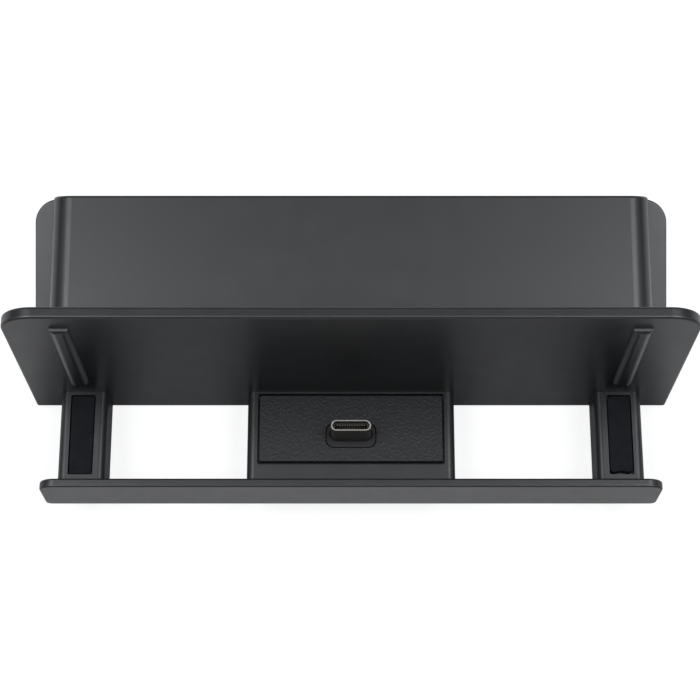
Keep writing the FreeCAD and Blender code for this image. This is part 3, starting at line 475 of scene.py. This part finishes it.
def ring(radius, steps):
    """Points round a circle about the origin."""
    turns = [math.tau * i / steps for i in range(steps)]
    return [radius * Vector((math.cos(t), math.sin(t))) for t in turns]


def row(count, pitch):
    """Places of like pieces in a row about the middle."""
    return [(i - (count - 1) / 2) * pitch for i in range(count)]


def raised(points, level, shift=(0.0, 0.0)):
    """Flat points lifted to a level."""
    return [Vector((p[0] + shift[0], p[1] + shift[1], level)) for p in points]


def skin(mesh, loops, joined=False, capped=True):
    """Quads from each loop to the next. The last loop meets the first, or the ends are capped."""
    rows = [[mesh.verts.new(point) for point in points] for points in loops]
    pairs = list(zip(rows, rows[1:]))
    if joined:
        pairs.append((rows[-1], rows[0]))
    for low, high in pairs:
        for i in range(len(low)):
            j = (i + 1) % len(low)
            mesh.faces.new((low[i], low[j], high[j], high[i]))
    if capped and not joined:
        mesh.faces.new(rows[0][::-1])
        mesh.faces.new(rows[-1])
    return mesh


def quarter_round(start, radius, steps):
    """Inset and height of points on a rounded edge that ends a radius inside the start, at its top."""
    inset, top = start
    turns = [math.pi / 2 * i / steps for i in range(steps + 1)]
    return [(inset + radius * (1 - math.cos(t)), top - radius * (1 - math.sin(t))) for t in turns]


def add_piece(name, mesh_data, place, material, nodes=(), sharp=40.0):
    """Puts a finished mesh on the dock, in place of the CAD nodes that it stands for."""
    bmesh.ops.recalc_face_normals(mesh_data, faces=mesh_data.faces)
    mesh = bpy.data.meshes.new(name)
    mesh_data.to_mesh(mesh)
    mesh_data.free()
    mesh.transform(place)
    mesh.shade_smooth()
    mesh.set_sharp_from_angle(angle=math.radians(sharp))
    mesh.materials.append(material)
    piece = bpy.data.objects.new(name, mesh)
    bpy.context.scene.collection.objects.link(piece)
    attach(piece, BODY)
    if nodes:
        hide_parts(*nodes)


def add_stage(name, mesh_data, material):
    """Puts a mesh of the studio into the scene, apart from the dock."""
    mesh = bpy.data.meshes.new(name)
    mesh_data.to_mesh(mesh)
    mesh_data.free()
    mesh.materials.append(material)
    stage = bpy.data.objects.new(name, mesh)
    bpy.context.scene.collection.objects.link(stage)
    return stage


def dress(material, *names):
    """Gives CAD nodes a finish."""
    for name in names:
        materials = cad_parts[name].data.materials
        materials.clear()
        materials.append(material)


def in_mm(group, *names):
    """Sizes of a property group in millimetres."""
    return [getattr(group, name) / MM for name in names]


class DOCK_OT_shell(bpy.types.Operator):
    """Gives the wall, cradle, housing, base plate and block cover their satin plastic"""

    bl_idname = "dock.shell"
    bl_label = "Moulded shell"

    def execute(self, context):
        look = context.scene.dock_shell
        plastic = satin_plastic(
            "satin_grey_plastic",
            tuple(look.colour),
            worn=tuple(look.worn_colour),
            roughness=look.roughness,
            grain=look.grain,
            depth=look.grain_depth,
            edge=look.edge,
        )
        dress(plastic, "backrest_cradle", "rear_housing", "base_plate", "block_cover")
        return {"FINISHED"}


# Radius of the collar's soft top edge, in millimetres
COLLAR_EDGE = 0.12


class DOCK_OT_panel(bpy.types.Operator):
    """Gives the inset panel its leather grain and makes the smoother collar round the plug"""

    bl_idname = "dock.panel"
    bl_label = "Inset panel and collar"

    def execute(self, context):
        look = context.scene.dock_panel
        dress(leather_plastic("leather_grained_plastic", look), "connector_panel")
        colour = tuple(look.collar_colour)
        plastic = satin_plastic(
            "collar_plastic",
            colour,
            worn=varied(colour, 1.5),
            roughness=0.52,
            grain=0.22 * MM,
            depth=0.012 * MM,
            edge=0.15 * MM,
            specular=0.2,
        )
        self.make_collar(look, context.scene.dock_plug, plastic)
        return {"FINISHED"}

    def make_collar(self, look, plug, plastic):
        """Collar on its flange, with a soft top edge and a thin moat round the plug's shell."""
        setback, width, depth, corner, sink = in_mm(
            look, "collar_setback", "collar_width", "collar_depth", "collar_corner", "collar_sink"
        )
        margin, flange, moat, moat_depth = in_mm(
            look, "flange_margin", "flange_thickness", "moat_width", "moat_depth"
        )
        plug_setback, plug_width, plug_thickness, root = in_mm(
            plug, "setback", "width", "thickness", "root"
        )
        top = -sink
        flange_top = flange - root
        outside = [(-margin, -root), (-margin, flange_top), (0.0, flange_top)]
        outside += quarter_round((0.0, top), COLLAR_EDGE, steps=4)
        loops = []
        for inset, level in outside:
            flat = loop(width - 2 * inset, depth - 2 * inset, corner - max(inset, 0.0))
            loops.append(raised(flat, level, (0.0, -setback)))
        easing = COLLAR_EDGE / 2
        inside = [(-moat - easing, top), (-moat, top - easing)]
        inside += [(-moat, top - moat_depth), (0.0, top - moat_depth), (0.0, -root)]
        for inset, level in inside:
            flat = stadium(plug_width, plug_thickness, inset)
            loops.append(raised(flat, level, (0.0, -plug_setback)))
        mesh = skin(bmesh.new(), loops, joined=True)
        add_piece("plug_collar", mesh, LEANED, plastic, ["plug_overmould"])


# Plug, in millimetres: radius of the shell's rolled rim and of the core's soft edges, the core's step in,
# the depths below its face where the step starts and ends, and the radius of the mouth's corners
RIM_BEND = 0.11
CORE_EDGE = 0.06
CORE_STEP = 0.12
STEP_LOW = 1.0
STEP_HIGH = 0.8
MOUTH_CORNER = 0.22


class DOCK_OT_plug(bpy.types.Operator):
    """Makes the plug's drawn shell with its rolled rim, and the core with its mouth"""

    bl_idname = "dock.plug"
    bl_label = "Plug shell and core"

    def execute(self, context):
        look = context.scene.dock_plug
        self.make_shell(look)
        self.make_core(look)
        return {"FINISHED"}

    def make_shell(self, look):
        """Drawn sheet up the outside, over the rolled rim and down the inside."""
        setback, width, thickness, wall, reach, root = in_mm(
            look, "setback", "width", "thickness", "wall", "reach", "root"
        )
        outside = [(0.0, -root), (0.0, 0.0), (0.0, reach / 2)]
        outside += quarter_round((0.0, reach), RIM_BEND, steps=5)
        inside = [(wall - inset, level) for inset, level in reversed(outside)]
        loops = []
        for inset, level in outside + inside:
            flat = stadium(width, thickness, inset, corner_steps=14, side_steps=6)
            loops.append(raised(flat, level, (0.0, -setback)))
        mesh = skin(bmesh.new(), loops, joined=True)
        metal = plated_metal("plated_plug_shell", tuple(look.metal), roughness=0.42, lines=(1.0, 1.0, 0.06))
        add_piece("plug_shell_drawn", mesh, LEANED, metal, ["plug_shell"])

    def make_core(self, look):
        """Core that fills the shell, stepped below its face, with a soft-edged mouth."""
        setback, width, thickness, wall, reach, root, recess = in_mm(
            look, "setback", "width", "thickness", "wall", "reach", "root", "recess"
        )
        mouth_width, mouth_height, mouth_depth = in_mm(look, "mouth_width", "mouth_height", "mouth_depth")
        top = reach - recess
        shift = (0.0, -setback)
        outside = [(0.0, -root), (0.0, 0.0), (0.0, top - STEP_LOW), (CORE_STEP, top - STEP_HIGH)]
        outside += quarter_round((CORE_STEP, top), CORE_EDGE, steps=4)
        loops = []
        for inset, level in outside:
            flat = stadium(width - 2 * wall, thickness - 2 * wall, inset)
            loops.append(raised(flat, level, shift))
        mouth = quarter_round((0.0, top), CORE_EDGE, steps=4)[::-1]
        mouth += [(0.0, top - mouth_depth / 2), (0.0, top - mouth_depth)]
        for grown, level in mouth:
            flat = loop(mouth_width + 2 * grown, mouth_height + 2 * grown, MOUTH_CORNER + grown)
            loops.append(raised(flat, level, shift))
        mesh = skin(bmesh.new(), loops)
        plastic = plain_moulding("plug_core_plastic", tuple(look.core), roughness=0.42)
        add_piece("plug_core", mesh, LEANED, plastic, ["plug_insulator"])


# Contact springs, in millimetres: the sheet, and the gap to the mouth's side
SPRING_SHEET = 0.08
SPRING_GAP = 0.005

# A spring's bend: share of its length, and the lift there in millimetres. Past TAPER_START it narrows
SPRING_BEND = (
    (0.0, 0.0),
    (0.3, 0.0),
    (0.55, 0.02),
    (0.7, 0.09),
    (0.78, 0.15),
    (0.84, 0.17),
    (0.9, 0.15),
    (1.0, 0.05),
)
TAPER_START = 0.8
TAPER_RATE = 0.25


class DOCK_OT_contacts(bpy.types.Operator):
    """Makes the two rows of bent contact springs in the plug's mouth"""

    bl_idname = "dock.contacts"
    bl_label = "Contact springs"

    def execute(self, context):
        look = context.scene.dock_plug
        setback, reach, recess, pitch = in_mm(look, "setback", "reach", "recess", "pitch")
        mouth_height, mouth_depth = in_mm(look, "mouth_height", "mouth_depth")
        floor = reach - recess - mouth_depth
        mesh = bmesh.new()
        for side in (-1, 1):
            face = -setback + side * mouth_height / 2
            for x in row(look.per_row, pitch):
                skin(mesh, self.spring(look, side, x, face, floor))
        gold = plated_metal("gilt_contacts", tuple(look.gold), roughness=0.24, lines=(1.0, 1.0, 0.1))
        add_piece("contact_springs", mesh, LEANED, gold, ["plug_contacts"], sharp=30.0)
        return {"FINISHED"}

    def spring(self, look, side, x, face, floor):
        """Sections of one spring, from the mouth's floor to the tip."""
        width, run = in_mm(look, "contact_width", "contact_length")
        sections = []
        for along, lift in SPRING_BEND:
            near = face - side * (lift + SPRING_GAP)
            far = near - side * SPRING_SHEET
            half = width / 2 * (1.0 - TAPER_RATE * max(0.0, along - TAPER_START))
            corners = ((x - half, near), (x + half, near), (x + half, far), (x - half, far))
            sections.append(raised(corners, floor + along * run))
        return sections


# Grip pads, in millimetres: radius of the corners and its least value, the crown's height, and insets
# past the soft edge with the crown's share there
PAD_CORNER = 0.4
LEAST_CORNER = 0.05
PAD_CROWN = 0.02
CROWN_RISE = ((0.4, 0.6), (1.1, 1.0))

# The worn front end of the right pad: drawn in, ragged and curled, fading fast towards the rear
WORN_CORNER = 1.2
WORN_BOW = 0.6
WEAR_POWER = 6
RAG_DEPTH = 0.12
RAG_RATE = 1.7
RAG_SEED = 3.0
CURL_DROP = 0.05


class DOCK_OT_grip_pads(bpy.types.Operator):
    """Makes the rubber pads in the arms with soft edges. The right one has a worn front end"""

    bl_idname = "dock.grip_pads"
    bl_label = "Grip pads"

    def execute(self, context):
        look = context.scene.dock_rubber
        rubber = matt_rubber("grip_rubber_skin", tuple(look.colour), grain=0.12 * MM, depth=0.012 * MM)
        offset = look.pad_offset / MM
        self.make_pad(look, rubber, "grip_pad_left", -offset, PAD_CORNER, 0.0)
        self.make_pad(look, rubber, "grip_pad_right", offset, WORN_CORNER, WORN_BOW)
        return {"FINISHED"}

    def make_pad(self, look, rubber, node, x, corner, bow):
        """Pad with a soft top edge and a slight crown. A bow draws its front end in and wears it."""
        width, run, thickness, setback, sink, edge = in_mm(
            look, "pad_width", "pad_length", "pad_thickness", "pad_setback", "pad_sink", "pad_edge"
        )
        top = -sink - PAD_CROWN
        rows = [(0.0, top - thickness + PAD_CROWN), (0.0, top - thickness / 2)]
        rows += quarter_round((0.0, top), edge, steps=5)
        rows += [(edge + inset, top + PAD_CROWN * rise) for inset, rise in CROWN_RISE]
        middle = -setback - run / 2
        loops = []
        for inset, level in rows:
            radius = max(corner - inset, LEAST_CORNER)
            flat = loop(width - 2 * inset, run - 2 * inset, radius, corner_steps=8, side_steps=12)
            points = []
            for p in flat:
                wear = max(0.0, -p.y / (run / 2)) ** WEAR_POWER
                drawn = bow * (1 - (2 * p.x / width) ** 2) * wear
                drop = 0.0
                if bow:
                    drawn += RAG_DEPTH * noise.noise(Vector((p.x * RAG_RATE, inset, RAG_SEED))) * wear
                    drop = CURL_DROP * wear * max(0.0, p.x / width)
                points.append(Vector((x + p.x, middle + p.y + drawn, level - drop)))
            loops.append(points)
        mesh = skin(bmesh.new(), loops)
        add_piece(node + "_rubber", mesh, LEANED, rubber, [node], sharp=50.0)


# Contacts on the inlet's tongue, in millimetres: half the tongue's thickness, then a contact's thickness,
# length, distance from the tongue's end, corners, and how much smaller its eased face is
TONGUE_HALF = 0.35
PLATE_THICKNESS = 0.03
PLATE_LENGTH = 3.4
PLATE_SETBACK = 0.5
PLATE_CORNER = 0.08
FACE_CORNER = 0.07
FACE_EASE = 0.03


class DOCK_OT_inlet(bpy.types.Operator):
    """Finishes the power inlet and lays the gilt contacts on its tongue"""

    bl_idname = "dock.inlet"
    bl_label = "Power inlet"

    def execute(self, context):
        look = context.scene.dock_plug
        metal = plated_metal("plated_inlet_shell", tuple(look.metal), roughness=0.3, lines=(1.0, 0.06, 1.0))
        dress(metal, "inlet_shell")
        dress(plain_moulding("inlet_tongue_plastic", tuple(look.core), roughness=0.45), "inlet_tongue")
        self.make_contacts(look)
        return {"FINISHED"}

    def make_contacts(self, look):
        """Two rows of flat contacts with an eased face, sunk a little into the tongue."""
        low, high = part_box("inlet_tongue")
        middle = (low.z + high.z) / 2 / MM
        start = high.y / MM - PLATE_SETBACK - PLATE_LENGTH / 2
        pitch, width = in_mm(look, "pitch", "contact_width")
        foot = loop(width, PLATE_LENGTH, PLATE_CORNER, corner_steps=4)
        face = loop(width - FACE_EASE, PLATE_LENGTH - FACE_EASE, FACE_CORNER, corner_steps=4)
        mesh = bmesh.new()
        for side in (-1, 1):
            base = middle + side * TONGUE_HALF
            rise = side * PLATE_THICKNESS
            sections = ((foot, base - rise), (foot, base + rise / 2), (face, base + rise))
            for x in row(look.per_row, pitch):
                skin(mesh, [raised(flat, level, (x, start)) for flat, level in sections])
        gold = plated_metal("gilt_inlet_contacts", tuple(look.gold), roughness=0.24, lines=(1.0, 0.1, 1.0))
        add_piece("inlet_contacts", mesh, LEVEL, gold, sharp=30.0)


# Feet: the sole with its ring groove, as shares of the radius and heights in millimetres, the soft rim,
# and the steps round a foot and along its rim
SOLE = ((0.3, 0.0), (0.52, 0.0), (0.55, 0.1), (0.6, 0.1), (0.63, 0.0), (0.86, 0.0))
FOOT_RIM = 0.35
FOOT_STEPS = 48
RIM_STEPS = 5


class DOCK_OT_feet(bpy.types.Operator):
    """Makes the four rubber feet with a soft rim and a ring groove"""

    bl_idname = "dock.feet"
    bl_label = "Rubber feet"

    def execute(self, context):
        look = context.scene.dock_rubber
        rubber = matt_rubber("foot_rubber_skin", tuple(look.foot_colour), grain=0.2 * MM, depth=0.02 * MM)
        profile = self.profile(look)
        for name in ("foot_front_left", "foot_front_right", "foot_rear_left", "foot_rear_right"):
            low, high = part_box(name)
            spot = ((low.x + high.x) / 2 / MM, (low.y + high.y) / 2 / MM)
            mesh = skin(bmesh.new(), [raised(ring(r, FOOT_STEPS), z, spot) for r, z in profile])
            add_piece(name + "_rubber", mesh, LEVEL, rubber, [name], sharp=35.0)
        return {"FINISHED"}

    def profile(self, look):
        """Radius and height from the sole's middle over the rim to the top."""
        radius, height = in_mm(look, "foot_radius", "foot_height")
        points = [(radius * part, level) for part, level in SOLE]
        for i in range(RIM_STEPS + 1):
            turn = math.pi / 2 * i / RIM_STEPS
            out = radius - FOOT_RIM + FOOT_RIM * math.sin(turn)
            points.append((out, FOOT_RIM - FOOT_RIM * math.cos(turn)))
        return [*points, (radius, height)]


# Screws, in millimetres and shares of a radius: steps round a screw, the head's soft rim, the shank's tip,
# the cross recess, and a reach that takes in one screw and no other
SCREW_STEPS = 64
HEAD_RIM = 0.18
HEAD_SHARE = 0.93
TIP_LENGTH = 0.4
TIP_SHARE = 0.6
CROSS_ARM = 1.15
CROSS_HALF = 0.27
CROSS_DEPTH = 0.6
CROSS_FLOOR_SHARE = 0.72
SCREW_REACH = 5.0

# Underside of the centre block below the cradle floor, and how far its screws' heads are sunk there,
# in millimetres
BLOCK_BOTTOM = -8.8
HEAD_SINK = 0.15


class DOCK_OT_screws(bpy.types.Operator):
    """Makes the pan-head screws with cross recesses under the base and the centre block"""

    bl_idname = "dock.screws"
    bl_label = "Screws"

    def execute(self, context):
        look = context.scene.dock_fasteners
        colour = tuple(look.colour)
        steel = plated_metal("plated_screw_steel", colour, roughness=0.34, lines=(1.0, 1.0, 0.2))
        dress(steel, "board_screws")
        self.make(look, steel, "base_screws", LEVEL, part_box("base_screws")[0].z / MM)
        self.make(look, steel, "block_screws", LEANED, BLOCK_BOTTOM + HEAD_SINK)
        return {"FINISHED"}

    def spots(self, node, place):
        """Middle and tip of each screw, read from the vertices of its CAD solid."""
        back = place.inverted()
        groups = []
        for p in [back @ v.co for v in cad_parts[node].data.vertices]:
            near = [g for g in groups if math.hypot(g[0].x - p.x, g[0].y - p.y) < SCREW_REACH]
            if near:
                near[0].append(p)
            else:
                groups.append([p])
        found = []
        for group in groups:
            xs = [p.x for p in group]
            ys = [p.y for p in group]
            found.append(((min(xs) + max(xs)) / 2, (min(ys) + max(ys)) / 2, max(p.z for p in group)))
        return sorted(found)

    def make(self, look, steel, node, place, low):
        """All screws of a node as one piece, with their heads' faces at a level."""
        mesh = bmesh.new()
        for x, y, tip in self.spots(node, place):
            skin(mesh, self.sections(look, (x, y), low, tip))
        add_piece(node + "_turned", mesh, place, steel, [node], sharp=35.0)

    def sections(self, look, spot, low, tip):
        """The sunk cross, the head with a soft rim, and the shank up to its tip."""
        head, head_height, shank = in_mm(look, "head_radius", "head_height", "shank_radius")
        cross = [self.cross_point(math.tau * i / SCREW_STEPS) for i in range(SCREW_STEPS)]
        floor = raised([p * CROSS_FLOOR_SHARE for p in cross], low + CROSS_DEPTH, spot)
        mouth = raised(cross, low, spot)
        profile = (
            (head * HEAD_SHARE, low),
            (head, low + HEAD_RIM),
            (head, low + head_height),
            (shank, low + head_height),
            (shank, tip - TIP_LENGTH),
            (shank * TIP_SHARE, tip),
        )
        rings = [raised(ring(radius, SCREW_STEPS), level, spot) for radius, level in profile]
        return [floor, mouth, *rings]

    def cross_point(self, turn):
        """Where a ray from the middle leaves a cross of four arms."""
        quarter = math.pi / 2
        local = (turn + quarter / 2) % quarter - quarter / 2
        across = abs(math.sin(local))
        reach = CROSS_ARM / math.cos(local)
        if across * reach > CROSS_HALF:
            reach = CROSS_HALF / across
        return Vector((math.cos(turn) * reach, math.sin(turn) * reach))


class DOCK_OT_electronics(bpy.types.Operator):
    """Finishes the boards, sockets, ribbon and components inside the housing and the block"""

    bl_idname = "dock.electronics"
    bl_label = "Electronics"

    def execute(self, context):
        look = context.scene.dock_electronics
        dress(solder_mask("solder_mask", tuple(look.lacquer)), "main_board", "plug_board")
        socket = plain_moulding("socket_plastic_pale", tuple(look.socket), roughness=0.5)
        dress(socket, "cable_socket_main", "cable_socket_plug")
        dress(striped_film("ribbon_film_striped", tuple(look.film), look.wire_pitch), "ribbon_cable")
        package = plain_moulding("chip_package", tuple(look.package), roughness=0.5)
        dress(package, "controller_chip", "inductor")
        dress(plain_moulding("fired_ceramic", tuple(look.ceramic), roughness=0.35), "capacitors")
        return {"FINISHED"}


# Floor: where its glow rises, in metres from the middle, the glow at both ends, and the grey that is shaded
GLOW_SPAN = (0.4, 2.0)
GLOW_LEVELS = (0.8, 1.0)
SHADOW_GREY = 0.3

# Where the floor's share in reflections changes, giving a painted shadow under the dock and a brighter
# painted glow towards the rear: past the footprint's edge, and below the leaning wall
FOOTPRINT_EDGE = (-2.0 * MM, 4.0 * MM)
BELOW_WALL = (-10.0 * MM, 5.0 * MM)

# Flags in the ring and their cloth, the lamps' cool light, and the camera's near and far limits in metres
FLAG_COUNT = 64
FLAG_CLOTH = (0.02, 0.02, 0.02)
LAMP_COLOUR = (0.97, 0.995, 1.045)
CAMERA_NEAR = 0.01
CAMERA_FAR = 20.0


class DOCK_OT_studio(bpy.types.Operator):
    """Lays the pale floor, hangs two soft lamps with dark flags round them and sets the camera"""

    bl_idname = "dock.studio"
    bl_label = "Studio"

    def execute(self, context):
        scene = context.scene
        settings = scene.dock_studio
        scene.view_settings.view_transform = "Standard"
        self.make_floor(settings)
        self.make_flags(settings)
        self.make_world(scene, settings)
        for side, name in ((-1, "lamp_left"), (1, "lamp_right")):
            self.make_lamp(scene, settings, name, side)
        self.make_camera(scene, settings)
        return {"FINISHED"}

    def make_floor(self, settings):
        """White to the camera, with the dock's shadow, and greyer in the light that it gives back."""
        mesh = bmesh.new()
        bmesh.ops.create_grid(mesh, x_segments=8, y_segments=8, size=settings.floor_side / 2)
        r = Recipe("pale_floor")
        away = r.add("VectorMath", {0: r.place()}, operation="LENGTH").outputs["Value"]
        glow = r.add("Emission", {"Strength": r.ranged(away, GLOW_SPAN, GLOW_LEVELS)})
        shaded = r.add("BsdfDiffuse", {"Color": grey(SHADOW_GREY)})
        seen = r.add("AddShader", {0: shaded.outputs[0], 1: glow.outputs[0]})
        plain = r.add("BsdfDiffuse", {"Color": grey(settings.floor_shade)})
        factor = r.ray_share(self.floor_share_with_painted_shadow(r, settings))
        mix = r.add("MixShader", {0: factor, 1: plain.outputs[0], 2: seen.outputs[0]})
        r.fill(r.tree.nodes["Material Output"], {"Surface": mix.outputs[0]})
        add_stage("floor", mesh, r.material)

    def floor_share_with_painted_shadow(self, r, settings):
        """Share of the white floor in reflections: none under the dock, a painted shadow there, and most
        beside the housing, a painted glow.
        """
        axes = r.add("SeparateXYZ", {0: r.place()}).outputs
        half_width, half_depth, _ = CAD_BOX[1]
        past_side = r.maths("SUBTRACT", r.maths("ABSOLUTE", axes["X"]), half_width)
        past_end = r.maths("SUBTRACT", r.maths("ABSOLUTE", axes["Y"]), half_depth)
        # Painted shadow: in reflections the floor loses its white glow within the dock's footprint.
        outside = r.ranged(r.maths("MAXIMUM", past_side, past_end), FOOTPRINT_EDGE, (0.0, 1.0))
        levels = (settings.floor_level, settings.floor_rear_level)
        # Painted glow: below the leaning wall the share rises from the front level to the brighter rear
        # level.
        return r.maths("MULTIPLY", outside, r.ranged(axes["Y"], BELOW_WALL, levels))

    def make_flags(self, settings):
        """Dark cards in a ring. Only mirrored rays meet them, so they shade edges and cast no shadow."""
        feet = []
        tops = []
        for spot in ring(settings.flag_radius, FLAG_COUNT):
            behind = spot.y / settings.flag_radius
            low, high = settings.flag_low, settings.flag_rear
            if behind < 0.0:
                low, high = settings.flag_gap, settings.flag_front
            foot = settings.flag_low + (low - settings.flag_low) * behind**2
            top = settings.flag_side + (high - settings.flag_side) * behind**2
            feet.append(Vector((*spot, foot)))
            tops.append(Vector((*spot, top)))
        mesh = skin(bmesh.new(), [feet, tops], capped=False)
        r = Recipe("dark_flag_cloth")
        cloth = r.finish(base_color=FLAG_CLOTH, roughness=1.0, specular_ior_level=0.0)
        flags = add_stage("flags", mesh, cloth)
        flags.visible_camera = False
        flags.visible_diffuse = False
        flags.visible_shadow = False
        flags.visible_transmission = False

    def make_world(self, scene, settings):
        """White room behind the dock and in its reflections, with a faint fill for matt surfaces."""
        world = bpy.data.worlds.new("studio")
        world.use_nodes = True
        nodes = Nodes(world.node_tree)
        nodes.tree.nodes.clear()
        fill = nodes.add("Background", {"Color": WHITE, "Strength": settings.fill_level})
        white = nodes.add("Background", {"Color": WHITE, "Strength": 1.0})
        factor = nodes.ray_share(settings.room_level)
        mix = nodes.add("MixShader", {0: factor, 1: fill.outputs[0], 2: white.outputs[0]})
        nodes.add("OutputWorld", {"Surface": mix.outputs[0]})
        scene.world = world

    def make_lamp(self, scene, settings, name, side):
        """Soft lamp beside and behind the dock, tipped towards it."""
        data = bpy.data.lights.new(name, "AREA")
        data.shape = "RECTANGLE"
        data.size = settings.lamp_width
        data.size_y = settings.lamp_depth
        data.color = LAMP_COLOUR
        data.energy = settings.lamp_level * math.pi * settings.lamp_width * settings.lamp_depth
        lamp = bpy.data.objects.new(name, data)
        lamp.location = (side * settings.lamp_spread, settings.lamp_back, settings.lamp_height)
        lamp.rotation_euler = (0.0, side * math.atan2(settings.lamp_spread, settings.lamp_height), 0.0)
        lamp.visible_camera = False
        scene.collection.objects.link(lamp)

    def make_camera(self, scene, settings):
        """Camera straight above, with the photo's focal length and shift."""
        data = bpy.data.cameras.new("camera")
        data.sensor_width = SENSOR_WIDTH
        data.lens = FOCAL_PIXELS * SENSOR_WIDTH / FRAME_PIXELS
        data.shift_x = -AXIS_SHIFT_PIXELS / FRAME_PIXELS
        data.clip_start = CAMERA_NEAR
        data.clip_end = CAMERA_FAR
        camera = bpy.data.objects.new("camera", data)
        camera.location = (0.0, settings.aim, settings.distance)
        scene.collection.objects.link(camera)
        scene.camera = camera


OPERATORS = (
    DOCK_OT_shell,
    DOCK_OT_panel,
    DOCK_OT_plug,
    DOCK_OT_contacts,
    DOCK_OT_grip_pads,
    DOCK_OT_inlet,
    DOCK_OT_feet,
    DOCK_OT_screws,
    DOCK_OT_electronics,
    DOCK_OT_studio,
)
GROUPS = {
    "dock_shell": ShellLook,
    "dock_panel": PanelLook,
    "dock_plug": PlugLook,
    "dock_rubber": RubberLook,
    "dock_fasteners": FastenerLook,
    "dock_electronics": ElectronicsLook,
    "dock_studio": StudioSettings,
}


class DOCK_PT_sidebar(bpy.types.Panel):
    """Lists the dock's settings and the operators that use them"""

    bl_idname = "DOCK_PT_sidebar"
    bl_label = "Charging dock"
    bl_space_type = "VIEW_3D"
    bl_region_type = "UI"
    bl_category = "Dock"

    def draw(self, context):
        for attribute, group in GROUPS.items():
            box = self.layout.box()
            box.label(text=group.__doc__)
            for name in group.__annotations__:
                box.prop(getattr(context.scene, attribute), name)
        for operator in OPERATORS:
            self.layout.operator(operator.bl_idname)


CLASSES = (*GROUPS.values(), *OPERATORS, DOCK_PT_sidebar)


def register():
    for item in CLASSES:
        bpy.utils.register_class(item)
    for attribute, group in GROUPS.items():
        setattr(bpy.types.Scene, attribute, bpy.props.PointerProperty(type=group))


def unregister():
    for attribute in GROUPS:
        delattr(bpy.types.Scene, attribute)
    for item in reversed(CLASSES):
        bpy.utils.unregister_class(item)


def main():
    register()
    bpy.ops.dock.shell()
    bpy.ops.dock.panel()
    bpy.ops.dock.plug()
    bpy.ops.dock.contacts()
    bpy.ops.dock.grip_pads()
    bpy.ops.dock.inlet()
    bpy.ops.dock.feet()
    bpy.ops.dock.screws()
    bpy.ops.dock.electronics()
    bpy.ops.dock.studio()


if __name__ == "__main__":
    main()
